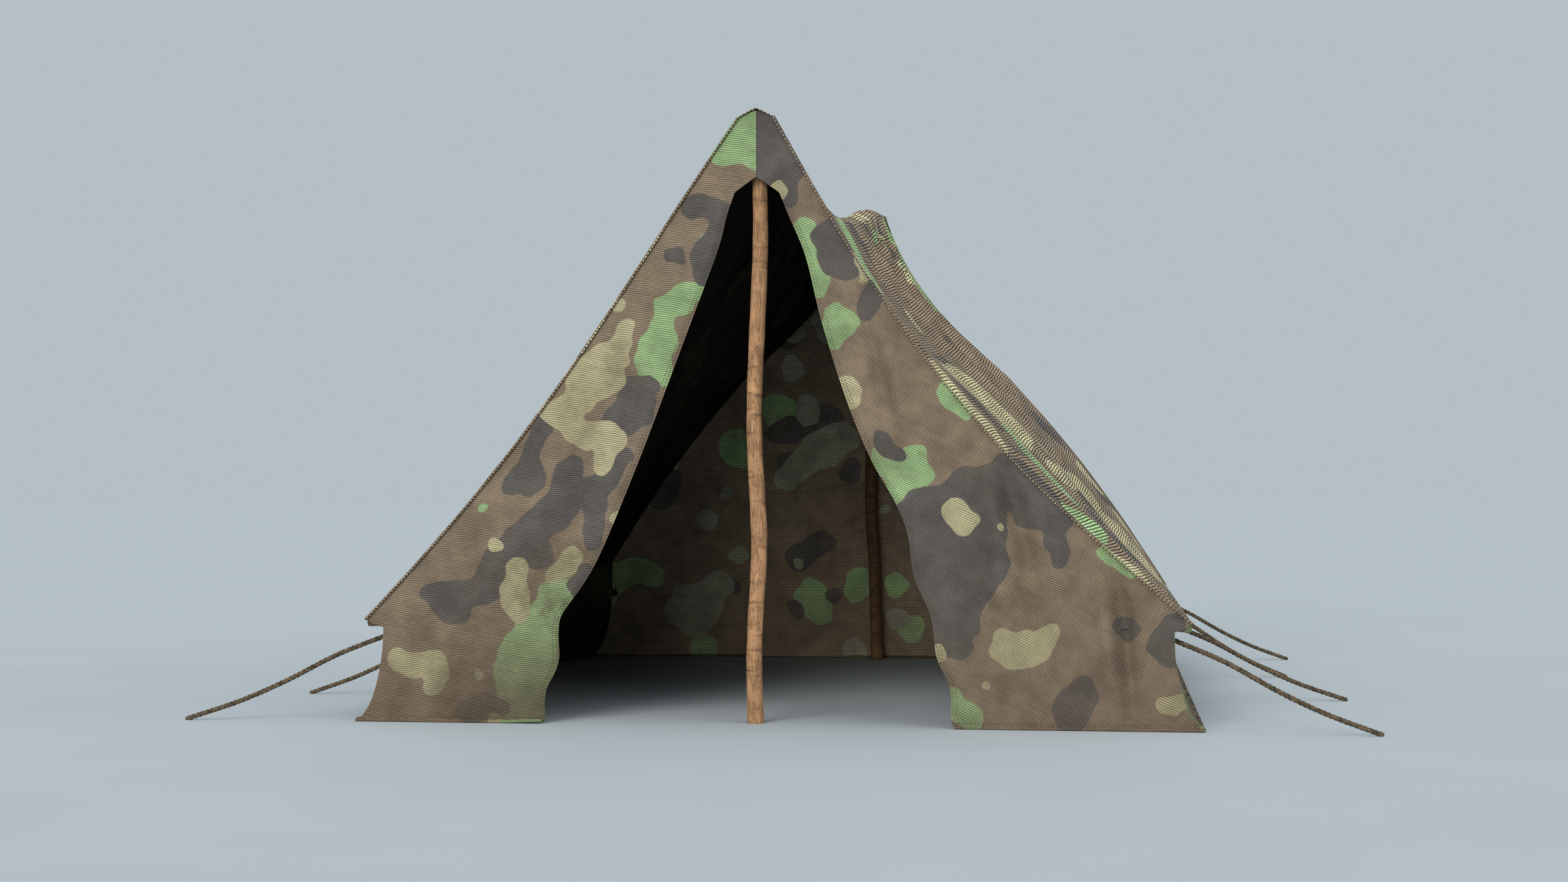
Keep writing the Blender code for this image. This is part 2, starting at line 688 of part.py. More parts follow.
def make_eyelet(side, number):
    """A brass eyelet turned about X: a barrel through the cloth with a flange on each face."""
    centre = eyelet_place(side, number)
    grip = CLOTH / 2 + EYELET_CLEAR + SEAM
    profile = [
        (-grip - EYELET_PLATE, EYELET_BORE),
        (grip + EYELET_PLATE, EYELET_BORE),
        (grip + EYELET_PLATE, EYELET_FLANGE),
        (grip, EYELET_FLANGE),
        (grip, EYELET_BARREL),
        (-grip, EYELET_BARREL),
        (-grip, EYELET_FLANGE),
        (-grip - EYELET_PLATE, EYELET_FLANGE),
    ]
    count, points, faces = len(profile), [], []
    for k in range(EYELET_SIDES):
        angle = 2 * math.pi * (k + 0.5) / EYELET_SIDES
        for across, radius in profile:
            place = Vector((across, radius * math.cos(angle), radius * math.sin(angle)))
            points.append(centre + place)
        ahead = (k + 1) % EYELET_SIDES
        for i in range(count):
            j = (i + 1) % count
            faces.append((k * count + i, k * count + j, ahead * count + j, ahead * count + i))
    add_mesh(f"wall_eyelet_{SIDE_NAMES[side]}_{number}", points, faces, "brass_eyelet", origin=centre)


def make_knot(side, number):
    """The outer shape of the stopper knot inside the wall."""
    ball = bmesh.new()
    bmesh.ops.create_icosphere(ball, subdivisions=2, radius=KNOT_RADIUS)
    centre = knot_centre(side, number)
    points = [centre + v.co for v in ball.verts]
    faces = [tuple(v.index for v in f.verts) for f in ball.faces]
    ball.free()
    add_mesh(f"guy_knot_{SIDE_NAMES[side]}_{number}", points, faces, "hemp_rope", origin=centre)


def make_guys(side):
    for number in range(1, len(GUYS[side]) + 1):
        make_rope(side, number)
        make_knot(side, number)
        make_eyelet(side, number)


def main():
    clear_scene()
    make_ridge_cap()
    make_rear_wall()
    make_rear_hem()
    make_front_seam_tape()
    for rear in (False, True):
        make_pole(rear)
        make_pole_cup(rear)
    for side in (LEFT, RIGHT):
        make_roof(side)
        make_gable_binding(side, rear=False)
        make_gable_binding(side, rear=True)
        make_eave_hem(side)
        make_side_wall(side)
        make_wall_hem(side)
        make_front_panel(side)
        make_door_flap(side)
        make_door_binding(side)
        make_front_hems(side)
        make_guys(side)


main()
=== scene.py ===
"""Two-pole ridge tent in camouflage canvas: finished cloth, timber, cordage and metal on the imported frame.

Laid out as a Blender add-on and run as a script. Metres, +Z up, the doorway faces -Y.
"""

import math
import random
from functools import lru_cache

import bmesh
import bpy
import numpy as np
from mathutils import Matrix, Vector


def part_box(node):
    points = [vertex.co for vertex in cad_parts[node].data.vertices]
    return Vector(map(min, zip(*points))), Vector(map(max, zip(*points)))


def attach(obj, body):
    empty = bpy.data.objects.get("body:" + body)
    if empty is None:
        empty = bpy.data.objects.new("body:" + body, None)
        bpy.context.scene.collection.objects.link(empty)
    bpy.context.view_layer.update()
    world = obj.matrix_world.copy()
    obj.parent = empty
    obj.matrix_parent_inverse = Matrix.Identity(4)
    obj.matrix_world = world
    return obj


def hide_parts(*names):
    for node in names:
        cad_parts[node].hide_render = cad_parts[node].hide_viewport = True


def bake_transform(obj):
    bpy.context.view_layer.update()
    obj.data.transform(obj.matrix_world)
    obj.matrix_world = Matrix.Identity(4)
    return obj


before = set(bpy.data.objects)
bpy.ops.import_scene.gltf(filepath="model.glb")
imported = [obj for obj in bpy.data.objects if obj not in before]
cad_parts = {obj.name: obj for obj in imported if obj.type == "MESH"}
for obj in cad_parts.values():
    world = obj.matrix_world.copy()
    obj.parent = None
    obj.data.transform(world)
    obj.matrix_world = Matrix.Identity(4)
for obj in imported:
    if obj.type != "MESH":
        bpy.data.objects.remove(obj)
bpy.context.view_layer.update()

bl_info = {
    "name": "Ridge Tent",
    "version": (1, 0, 0),
    "blender": (4, 5, 0),
    "location": "View3D > Sidebar > Tent",
    "description": "Builds a two-pole ridge tent with guy ropes around its CAD frame",
    "category": "Object",
}

# ---------------------------------------------------------------- the tent's sizes, as its CAD has them

LEFT, RIGHT = -1, 1
SIDES = {LEFT: "left", RIGHT: "right"}
LENGTH = 3.06
FRONT_Y, REAR_Y = -LENGTH / 2, LENGTH / 2
RIDGE_FRONT, RIDGE_REAR, RIDGE_SAG = 2.0, 2.03, 0.17
RIDGE_X_FRONT, RIDGE_X_REAR = -0.035, -0.015
EAVE_HALF_FRONT, EAVE_HALF_REAR = 1.35, 1.29
EAVE_HEIGHT, EAVE_LIP = 0.337, 0.024
CAP_HALF, CAP_DROP, CAP_CURVE = 0.057, 0.028, 1.15
SAG_FRONT = {LEFT: 0.055, RIGHT: 0.12}
SAG_FRONT_POWER = {LEFT: 1.3, RIGHT: 1.0}
SAG_MIDDLE, SAG_REAR_DIP, SAG_REAR_BULGE, SAG_REAR_POWER, SAG_FADE = 0.12, 0.07, 0.03, 0.85, 1.5
WALL_INSET, WALL_FLARE, WALL_FLARE_FOOT, WALL_DROP = 0.06, 0.095, 0.3, 0.31
CLOTH, EDGE, OVERLAP = 0.003, 0.02, 0.008
HEM_WIDTH, HEM_HEIGHT = 0.026, 0.0115
DOOR_TOP, NOTCH_HALF, NOTCH_DROP = 1.778, 0.073, 0.051
FOLD_FROM_WALL = {LEFT: 0.185, RIGHT: 0.215}
ROPE_RADIUS, ROPE_LIFT, ROPE_STEP = 0.0085, 0.0003, 0.05
EYELET_HEIGHT, EYELET_FROM_END = 0.285, 0.06
KNOT_RADIUS, KNOT_INSET = 0.021, 0.03
GUYS = {
    LEFT: [(-0.09, 0.66), (-0.07, 0.62), (0.1, 0.55), (0.13, 0.6)],
    RIGHT: [(-0.1, 0.62), (0.11, 0.63), (0.16, 0.5), (0.16, 0.58)],
}
GUY_ROUTE = [(0.0, 1.0), (0.14, 0.875), (0.29, 0.725), (0.52, 0.44), (0.75, 0.2), (1.0, 0.0)]
POLE_RADIUS, POLE_TIP_RADIUS = 0.027, 0.0255
POLE_INSET_FOOT, POLE_INSET_TIP = 0.105, 0.055
CUP_TOP_GAP, CUP_UNDER_RIDGE, CUP_LENGTH = 0.0055, 0.02, 0.055
FRONT_POLE_BOW = [
    (0.0, -0.024), (0.085, -0.028), (0.17, -0.024), (0.32, -0.008), (0.52, -0.022), (0.69, -0.01), (0.85, 0.003),
]
REAR_POLE_BOW = [
    (0.0, 0.027), (0.115, 0.018), (0.235, 0.012), (0.33, 0.0), (0.48, 0.001), (0.65, 0.014), (0.84, 0.004),
]

# Free edge of each door flap, from the notch's shoulder down to the ground: (x, z).
DOOR_EDGE = {
    LEFT: [
        (-0.106, 1.728), (-0.134, 1.65), (-0.166, 1.534), (-0.273, 1.258), (-0.395, 0.938), (-0.489, 0.71),
        (-0.558, 0.552), (-0.611, 0.458), (-0.683, 0.36), (-0.694, 0.3), (-0.693, 0.221), (-0.708, 0.17),
        (-0.734, 0.116), (-0.742, 0.06), (-0.74, 0.03), (-0.748, 0.006),
    ],
    RIGHT: [
        (0.04, 1.725), (0.072, 1.645), (0.125, 1.514), (0.176, 1.305), (0.254, 1.057), (0.333, 0.863), (0.41, 0.727),
        (0.449, 0.631), (0.461, 0.554), (0.474, 0.476), (0.524, 0.36), (0.543, 0.232), (0.576, 0.155),
        (0.589, 0.105), (0.589, 0.027), (0.6, 0.006),
    ],
}

# Markings of the printed canvas on the front, as chains of round spots: (x, z, radius).
FRONT_MARKS = {
    LEFT: {
        "green": [
            (-0.04, 1.89, 0.085), (-0.13, 1.88, 0.06), (-0.09, 1.96, 0.1), (-0.205, 1.575, 0.012),
            (-0.24, 1.40, 0.03), (-0.29, 1.385, 0.035), (-0.335, 1.36, 0.03), (-0.355, 1.30, 0.03),
            (-0.36, 1.24, 0.05), (-0.375, 1.17, 0.06), (-0.26, 1.355, 0.02), (-0.955, 0.705, 0.016),
            (-0.70, 0.42, 0.06), (-0.72, 0.36, 0.06), (-0.76, 0.31, 0.08), (-0.80, 0.22, 0.09), (-0.82, 0.12, 0.085),
            (-0.80, 0.04, 0.09),
        ],
        "pale": [
            (-0.485, 1.37, 0.018), (-0.475, 1.29, 0.025), (-0.48, 1.25, 0.03), (-0.50, 1.20, 0.04),
            (-0.55, 1.17, 0.06), (-0.60, 1.15, 0.05), (-0.52, 1.13, 0.035), (-0.59, 1.10, 0.04), (-0.64, 1.14, 0.03),
            (-0.63, 1.06, 0.04), (-0.67, 1.02, 0.045), (-0.70, 1.01, 0.04), (-0.72, 1.03, 0.025),
            (-0.65, 0.97, 0.04), (-0.60, 0.95, 0.04), (-0.54, 0.95, 0.035), (-0.515, 0.925, 0.035),
            (-0.545, 0.87, 0.03), (-0.55, 0.845, 0.02), (-0.505, 0.665, 0.02), (-0.905, 0.58, 0.015),
            (-0.885, 0.575, 0.01), (-0.835, 0.50, 0.035), (-0.84, 0.43, 0.045), (-0.83, 0.37, 0.025),
            (-0.64, 0.55, 0.027), (-0.67, 0.52, 0.03), (-0.70, 0.49, 0.022), (-1.23, 0.20, 0.035),
            (-1.18, 0.19, 0.03), (-1.13, 0.19, 0.045), (-1.115, 0.14, 0.035), (-1.12, 0.12, 0.03),
            (-0.965, 0.165, 0.015), (-0.90, 0.005, 0.02),
        ],
        "dark": [
            (-0.25, 1.675, 0.03), (-0.20, 1.685, 0.035), (-0.16, 1.66, 0.04), (-0.14, 1.62, 0.04),
            (-0.17, 1.57, 0.035), (-0.20, 1.53, 0.035), (-0.21, 1.46, 0.03), (-0.29, 1.52, 0.025),
            (-0.32, 1.52, 0.015), (-0.40, 1.10, 0.035), (-0.45, 1.08, 0.04), (-0.47, 1.04, 0.035),
            (-0.51, 1.01, 0.025), (-0.42, 1.04, 0.05), (-0.48, 0.98, 0.03), (-0.47, 0.87, 0.03),
            (-0.52, 0.82, 0.035), (-0.565, 0.77, 0.035), (-0.58, 0.70, 0.03), (-0.58, 0.64, 0.025),
            (-0.57, 0.60, 0.02), (-0.605, 0.49, 0.025), (-0.62, 0.45, 0.03), (-0.73, 1.00, 0.025),
            (-0.75, 0.97, 0.025), (-0.78, 0.92, 0.025), (-0.79, 0.87, 0.03), (-0.78, 0.82, 0.04),
            (-0.82, 0.79, 0.04), (-0.85, 0.77, 0.02), (-0.64, 0.86, 0.02), (-0.66, 0.80, 0.04), (-0.68, 0.74, 0.05),
            (-0.72, 0.68, 0.06), (-0.78, 0.64, 0.05), (-0.84, 0.62, 0.03), (-0.80, 0.58, 0.05), (-0.85, 0.55, 0.05),
            (-0.90, 0.52, 0.045), (-0.93, 0.50, 0.04), (-0.94, 0.46, 0.04), (-0.93, 0.43, 0.04), (-1.0, 0.42, 0.035),
            (-1.05, 0.41, 0.04), (-1.10, 0.41, 0.035), (-1.03, 0.37, 0.03), (-1.08, 0.38, 0.04), (-1.13, 0.43, 0.02),
            (-0.76, 0.55, 0.04), (-1.0, 0.045, 0.035), (-0.95, 0.05, 0.035), (-0.88, 0.05, 0.02),
        ],
    },
    RIGHT: {
        "dark": [
            (0.0, 1.95, 0.07), (0.02, 1.88, 0.07), (0.03, 1.80, 0.05), (0.0, 1.80, 0.04), (0.08, 1.80, 0.04),
            (0.05, 1.76, 0.04), (0.07, 1.72, 0.03), (0.22, 1.585, 0.05), (0.18, 1.58, 0.025), (0.26, 1.53, 0.04),
            (0.22, 1.51, 0.05), (0.28, 1.48, 0.03), (0.34, 1.37, 0.035), (0.36, 1.41, 0.025), (0.32, 1.34, 0.03),
            (0.375, 0.92, 0.03), (0.38, 0.90, 0.03), (0.41, 0.88, 0.02), (0.76, 0.79, 0.075), (0.68, 0.74, 0.09),
            (0.60, 0.70, 0.09), (0.52, 0.70, 0.07), (0.48, 0.65, 0.08), (0.52, 0.57, 0.1), (0.60, 0.57, 0.1),
            (0.68, 0.60, 0.09), (0.72, 0.54, 0.05), (0.63, 0.45, 0.09), (0.56, 0.45, 0.09), (0.60, 0.35, 0.07),
            (0.57, 0.30, 0.06), (0.62, 0.26, 0.04), (0.84, 0.74, 0.06), (0.90, 0.70, 0.06), (0.94, 0.66, 0.035),
            (0.92, 0.60, 0.03), (0.93, 0.55, 0.02), (0.82, 0.69, 0.04), (0.98, 0.08, 0.05), (1.0, 0.12, 0.04),
            (0.97, 0.04, 0.05), (1.14, 0.32, 0.025), (1.12, 0.33, 0.015), (1.16, 0.31, 0.015), (1.27, 0.29, 0.045),
            (1.28, 0.34, 0.03), (1.25, 0.26, 0.03), (1.27, 0.23, 0.03),
        ],
        "green": [
            (0.07, 1.88, 0.03), (0.06, 1.89, 0.025), (0.09, 1.86, 0.02), (0.12, 1.60, 0.035), (0.14, 1.55, 0.04),
            (0.17, 1.48, 0.035), (0.17, 1.43, 0.03), (0.11, 1.62, 0.025), (0.18, 1.40, 0.02), (0.22, 1.32, 0.03),
            (0.25, 1.30, 0.035), (0.21, 1.28, 0.035), (0.22, 1.26, 0.03), (0.60, 1.07, 0.03), (0.62, 1.04, 0.035),
            (0.58, 1.09, 0.02), (0.65, 1.01, 0.015), (0.38, 0.85, 0.04), (0.43, 0.84, 0.055), (0.47, 0.86, 0.035),
            (0.51, 0.82, 0.025), (0.45, 0.79, 0.05), (0.44, 0.75, 0.035), (0.36, 0.87, 0.025), (1.13, 0.535, 0.03),
            (1.10, 0.56, 0.03), (1.16, 0.51, 0.02), (0.56, 0.335, 0.01), (0.62, 0.06, 0.04), (0.66, 0.04, 0.03),
            (0.60, 0.09, 0.03),
        ],
        "pale": [
            (0.05, 1.73, 0.02), (0.04, 1.745, 0.012), (0.31, 1.50, 0.03), (0.30, 1.53, 0.02), (0.33, 1.46, 0.03),
            (0.25, 1.11, 0.025), (0.27, 1.08, 0.025), (0.28, 1.06, 0.02), (0.60, 0.695, 0.03), (0.62, 0.68, 0.03),
            (0.64, 0.66, 0.03), (0.755, 0.27, 0.04), (0.79, 0.25, 0.04), (0.82, 0.23, 0.035), (0.86, 0.26, 0.04),
            (0.88, 0.29, 0.03), (0.91, 0.30, 0.02), (0.83, 0.29, 0.03), (1.30, 0.09, 0.03), (1.27, 0.09, 0.02),
            (0.555, 0.245, 0.02), (0.695, 0.145, 0.012), (0.745, 0.635, 0.008),
        ],
    },
}
REAR_MARKS = {
    "green": [
        (-0.44, 1.12, 0.08), (-0.65, 0.95, 0.08), (-0.3, 0.28, 0.07), (-0.25, 0.2, 0.05), (-0.08, 0.33, 0.07),
        (0.083, 0.33, 0.05), (0.15, 0.13, 0.06), (-0.8, 0.05, 0.06),
    ],
    "pale": [
        (-0.317, 1.125, 0.06), (-0.39, 1.32, 0.05), (-0.15, 1.0, 0.07), (-0.25, 0.95, 0.08), (-0.35, 0.88, 0.06),
        (-0.42, 0.80, 0.04), (-0.7, 0.75, 0.03), (-0.78, 0.63, 0.045), (0.033, 0.68, 0.02), (-0.64, 0.46, 0.035),
        (-0.353, 0.43, 0.025), (-0.85, 0.22, 0.12), (-0.73, 0.32, 0.06), (0.1, 0.18, 0.05), (-0.1, 0.03, 0.05),
    ],
    "dark": [
        (-0.22, 1.09, 0.06), (-0.3, 1.07, 0.05), (-0.38, 1.04, 0.05), (-0.46, 1.02, 0.04), (-0.117, 0.85, 0.05),
        (-0.42, 0.9, 0.04), (-0.35, 0.45, 0.06), (-0.3, 0.5, 0.05), (-0.24, 0.52, 0.04), (-0.2, 0.28, 0.04),
        (-0.37, 0.22, 0.04), (-0.68, 0.32, 0.04),
    ],
}
# The same for the right of the roof: (distance along the tent, distance down from the ridge, radius).
ROOF_MARKS = {
    "green": [
        (0.0, 0.07, 0.1), (0.04, 0.15, 0.12), (0.0, 0.24, 0.1), (-0.08, 0.32, 0.07), (1.42, 0.15, 0.09),
        (1.42, 0.26, 0.1), (1.44, 0.36, 0.08), (1.46, 0.46, 0.06), (-0.02, 1.12, 0.05), (-0.02, 1.2, 0.08),
        (0.0, 1.3, 0.09), (0.0, 1.4, 0.1), (0.05, 1.5, 0.09), (-1.2, 1.58, 0.06), (-1.15, 1.65, 0.08),
        (-1.5, 0.86, 0.035), (-1.48, 0.93, 0.04), (1.4, 1.9, 0.05), (-0.75, 0.5, 0.07), (-0.7, 0.6, 0.08),
        (-0.72, 1.7, 0.07), (-0.6, 1.78, 0.06), (0.95, 0.12, 0.03), (1.0, 0.2, 0.03),
    ],
    "pale": [
        (0.8, 0.02, 0.05), (0.95, 0.03, 0.05), (1.1, 0.05, 0.035), (1.14, 0.12, 0.03), (1.25, 0.29, 0.04),
        (1.28, 0.36, 0.04), (-1.42, 0.36, 0.04), (-1.3, 0.39, 0.05), (-1.15, 0.42, 0.04), (0.4, 0.5, 0.06),
        (0.5, 0.52, 0.05), (-1.18, 0.58, 0.035), (-1.14, 0.66, 0.04), (-1.1, 0.74, 0.04), (0.05, 0.8, 0.07),
        (0.12, 0.87, 0.13), (0.2, 0.94, 0.2), (0.32, 1.01, 0.2), (0.42, 1.07, 0.13), (-1.2, 0.98, 0.07),
        (-1.2, 1.08, 0.09), (-1.2, 1.18, 0.08), (-1.22, 1.27, 0.05), (0.65, 1.25, 0.05), (0.38, 1.34, 0.06),
        (0.44, 1.39, 0.07), (0.68, 1.42, 0.08), (0.82, 1.5, 0.09), (0.6, 1.62, 0.1), (0.68, 1.7, 0.15),
        (0.72, 1.8, 0.19), (0.76, 1.9, 0.19), (0.8, 1.98, 0.13), (-1.2, 1.8, 0.06), (-1.16, 1.88, 0.07),
        (-0.7, 0.95, 0.06), (-0.64, 1.03, 0.05), (1.3, 1.5, 0.06), (1.36, 1.58, 0.05),
    ],
    "dark": [
        (0.34, 0.1, 0.07), (0.38, 0.17, 0.08), (0.42, 0.25, 0.06), (0.78, 0.08, 0.04), (0.82, 0.18, 0.04),
        (0.86, 0.28, 0.03), (1.2, 0.1, 0.03), (1.24, 0.2, 0.03), (-1.52, 0.62, 0.05), (-1.5, 0.72, 0.055),
        (-1.47, 0.8, 0.04), (0.14, 0.72, 0.05), (0.28, 0.76, 0.06), (-0.16, 0.86, 0.04), (-0.16, 0.96, 0.05),
        (-0.14, 1.06, 0.05), (-1.1, 1.18, 0.04), (-1.08, 1.3, 0.05), (-1.2, 1.42, 0.08), (-1.22, 1.5, 0.07),
        (0.52, 1.44, 0.05), (0.48, 1.54, 0.07), (0.3, 1.58, 0.06), (0.12, 1.64, 0.08), (0.2, 1.74, 0.1),
        (0.24, 1.84, 0.09), (-1.45, 1.64, 0.05), (-1.42, 1.72, 0.05), (0.9, 0.62, 0.04), (1.0, 0.66, 0.03),
        (-0.7, 1.3, 0.08), (-0.66, 1.42, 0.08), (-0.72, 0.2, 0.08), (-0.66, 0.3, 0.06), (1.25, 1.2, 0.06),
        (1.3, 1.3, 0.05),
    ],
}
PRINTS = ("green", "dark", "pale")
PRINT_SHARPNESS = 130.0
NO_PRINT = -0.2
PALE_MOST = 0.85
# Scattered blotches: (print, chains in a square metre, radius, most spots in a chain).
SCATTER = (("dark", 4.4, 0.068, 9), ("green", 3.6, 0.06, 7), ("pale", 5.4, 0.04, 6))

# Soft folds in the cloth: (x, z, lean in degrees from upright, length, width, how far it stands out).
FRONT_FOLDS = {
    LEFT: [
        (-0.95, 0.45, 38, 0.3, 0.045, 0.017), (-1.12, 0.25, 30, 0.2, 0.04, -0.015),
        (-0.62, 0.95, 24, 0.4, 0.05, 0.012), (-0.5, 1.1, 28, 0.3, 0.04, -0.007), (-0.8, 0.2, 8, 0.2, 0.04, 0.01),
        (-1.25, 0.2, 12, 0.2, 0.03, 0.008),
    ],
    RIGHT: [
        (0.74, 0.55, -6, 0.3, 0.04, 0.04), (0.82, 0.6, -12, 0.28, 0.035, -0.036),
        (0.42, 1.08, -14, 0.2, 0.035, 0.022), (0.36, 1.16, -14, 0.16, 0.03, -0.02),
        (1.08, 0.3, -6, 0.22, 0.032, 0.032), (1.14, 0.28, -6, 0.24, 0.026, -0.034),
        (0.6, 0.25, -10, 0.2, 0.035, 0.01), (0.95, 0.3, -10, 0.25, 0.05, -0.016), (0.25, 1.4, -18, 0.2, 0.03, 0.008),
    ],
}
REAR_FOLDS = [
    (-0.5, 0.6, 20, 0.5, 0.06, 0.012), (0.2, 0.9, -4, 0.6, 0.05, 0.01), (0.7, 0.5, -24, 0.4, 0.05, 0.012),
    (-0.15, 0.5, 4, 0.5, 0.05, -0.01), (0.45, 0.35, -10, 0.3, 0.04, -0.01),
]
# Pleats behind the roof's front edge: (share of the length, width, how far it stands out, lean).
ROOF_PLEATS = (
    (0.05, 0.013, 0.014, 0.03), (0.085, 0.016, -0.014, 0.05), (0.125, 0.018, 0.02, 0.07), (0.175, 0.02, -0.016, 0.1),
)
# The bunched cloth in front of the rear pole: shares of the length, and heights above the ridge.
BUNCH_PLACES = (0.5, 0.7, 0.8, 0.86, 0.9, 0.95, 0.985)
BUNCH_HEIGHTS = (0.0, 0.014, 0.027, 0.033, 0.031, 0.019, 0.0)

# A welt's outline over two pipings: (distance from the roof's edge, height).
WELT_PROFILE = [
    (0.0, 0.001), (0.0008, 0.004), (0.003, 0.0056), (0.0062, 0.0052), (0.0085, 0.0022), (0.0105, 0.0016),
    (0.0128, 0.0026), (0.0158, 0.005), (0.0188, 0.0048), (0.0212, 0.0026), (0.022, 0.0006),
]
WELT_STEPS = 220
# Points across each sheet's grid.
FRONT_COLUMNS = 105
WALL_ROWS, WALL_COLUMNS = 300, 50
REAR_ROWS, REAR_COLUMNS = 170, 190
TAPE_SPOTS = (0, 0.008, 0.016, 0.025)
ROLL_UV_STEP = 0.006
TOP_GAP, END_GAP, GROUND_GAP = 0.003, 0.0035, 0.004
HEM_OUT, HEM_IN = 0.0078, 0.0045
HOLE_RADIUS, HOLE_CUT, HOLE_REACH = 0.019, 0.0188, 0.04

ROPE_FOOT = 0.016
KNOT_SCALE, KNOT_STRAND, KNOT_LAY, KNOT_STEPS = 0.0042, 0.0072, 0.04, 48

POLE_SIDES, POLE_CREASES = 36, 34
# Branch knots: (height, direction, how far it stands out).
POLE_KNOTS = [(1.22, -math.pi / 2 + 0.25, 0.0035), (0.62, 0.3, 0.003), (1.55, -2.4, 0.003), (0.33, -1.1, 0.0025)]
TIP_TAPER = (1, 0.96, 0.86, 0.7)

CAMERA_PLACE = (1.2046, -8.8752, 0.7634)
CAMERA_YAW, CAMERA_PITCH, CAMERA_TILT = -0.1554, 0.0211, -0.0026
# Lamps: (name, place, softness in degrees, share of the key light's strength).
LAMPS = (
    ("key", (-2.6, -8.0, 4.6), 34.0, 0.78),
    ("fill", (6.5, -3.0, 7.5), 60.0, 0.5),
    ("low_fill", (-1.2, -8.0, 2.4), 40.0, 0.5),
)
LAMP_COLOUR = (1.0, 0.965, 0.91)
FLOOR_LINES = (-90.0, -9.0, 9.0, 90.0)


def clamp(value, low=0.0, high=1.0):
    return min(high, max(low, value))


def mix(a, b, share):
    return a + (b - a) * share


def ease(low, high, value):
    share = np.clip((np.asarray(value, float) - low) / (high - low), 0.0, 1.0)
    return share * share * (3 - 2 * share)


def smooth_line(points, step):
    """Points about a step apart on one smooth curve through the given points."""
    line = [Vector(p) for p in points]
    ends = [2 * line[0] - line[1]] + line + [2 * line[-1] - line[-2]]
    fine = []
    for a, b, c, d in zip(ends, ends[1:], ends[2:], ends[3:]):
        for k in range(24):
            s = k / 24
            bend = 2 * b + (c - a) * s + (2 * a - 5 * b + 4 * c - d) * s * s
            fine.append((bend + (3 * b - a - 3 * c + d) * s**3) / 2)
    fine.append(line[-1])
    along = [0.0]
    for a, b in zip(fine, fine[1:]):
        along.append(along[-1] + (b - a).length)
    count = max(2, round(along[-1] / step))
    spaced, k = [], 0
    for i in range(count + 1):
        at = along[-1] * i / count
        while k < len(along) - 2 and along[k + 1] < at:
            k += 1
        share = (at - along[k]) / max(along[k + 1] - along[k], 1e-12)
        spaced.append(fine[k].lerp(fine[k + 1], min(1.0, share)))
    return spaced


# ---------------------------------------------------------------- the tent's surfaces


def station(y):
    return clamp((y - FRONT_Y - EDGE) / (LENGTH - 2 * EDGE))


def ridge_x(t):
    return mix(RIDGE_X_FRONT, RIDGE_X_REAR, t)


def ridge_z(t):
    return mix(RIDGE_FRONT, RIDGE_REAR, t) - RIDGE_SAG * 4 * t * (1 - t)


def eave_half(t):
    return mix(EAVE_HALF_FRONT, EAVE_HALF_REAR, t)


def wall_x(t, z):
    share = max(0.0, 1 - z / WALL_DROP)
    return eave_half(t) - WALL_INSET + WALL_FLARE * ((1 - WALL_FLARE_FOOT) * share**2 + WALL_FLARE_FOOT * share**10)


def slope_sag(side, t, v):
    front = SAG_FRONT[side] * math.sin(math.pi * v ** SAG_FRONT_POWER[side])
    wave = math.sin(2 * math.pi * v**SAG_REAR_POWER)
    rear = (SAG_REAR_DIP if wave > 0 else SAG_REAR_BULGE) * wave
    near, far = (1 - t) ** SAG_FADE, t**SAG_FADE
    return front * near + rear * far + SAG_MIDDLE * math.sin(math.pi * v) * (1 - near - far)


def slope_point(side, t, v, out=0.0):
    """(x, z) on the roof slope, moved out from its outer face by the given distance."""
    top = Vector((ridge_x(t) + side * CAP_HALF, ridge_z(t) - CAP_DROP))
    chord = Vector((side * eave_half(t), EAVE_HEIGHT)) - top
    outward = Vector((abs(chord.y) * side, abs(chord.x))).normalized()
    return top + chord * v + outward * (out - slope_sag(side, t, v))


def slope_length(side, t):
    top = Vector((ridge_x(t) + side * CAP_HALF, ridge_z(t) - CAP_DROP))
    return (Vector((side * eave_half(t), EAVE_HEIGHT)) - top).length


def section(side, t, count=260):
    """Fine points (x, z) of the roof's outer face from the ridge down to the eave."""
    line = []
    for i in range(12):
        across = CAP_HALF * i / 12
        line.append((ridge_x(t) + side * across, ridge_z(t) - CAP_DROP * (across / CAP_HALF) ** CAP_CURVE))
    for i in range(count + 1):
        p = slope_point(side, t, i / count)
        line.append((p.x, p.y))
    return np.array(line)


def folds(x, z, creases):
    """How far the cloth stands out at each point because of its soft folds."""
    total = np.zeros_like(x)
    for cx, cz, lean, length, width, height in creases:
        c, s = math.cos(math.radians(lean)), math.sin(math.radians(lean))
        along = (x - cx) * s + (z - cz) * c
        across = (x - cx) * c - (z - cz) * s
        total += height * np.exp(-((along / length) ** 2) - (across / width) ** 2)
    return total


def ripple(a, b, seed, pitch=0.35, count=9):
    """A slow unevenness from a few crossing waves, about -1 to 1."""
    wild = random.Random(seed)
    total = np.zeros_like(a)
    for _ in range(count):
        turn, phase = wild.uniform(0, math.pi), wild.uniform(0, 2 * math.pi)
        size = pitch * wild.uniform(0.6, 1.8)
        total += np.sin(2 * math.pi * (a * math.cos(turn) + b * math.sin(turn)) / size + phase)
    return total / count * 1.6


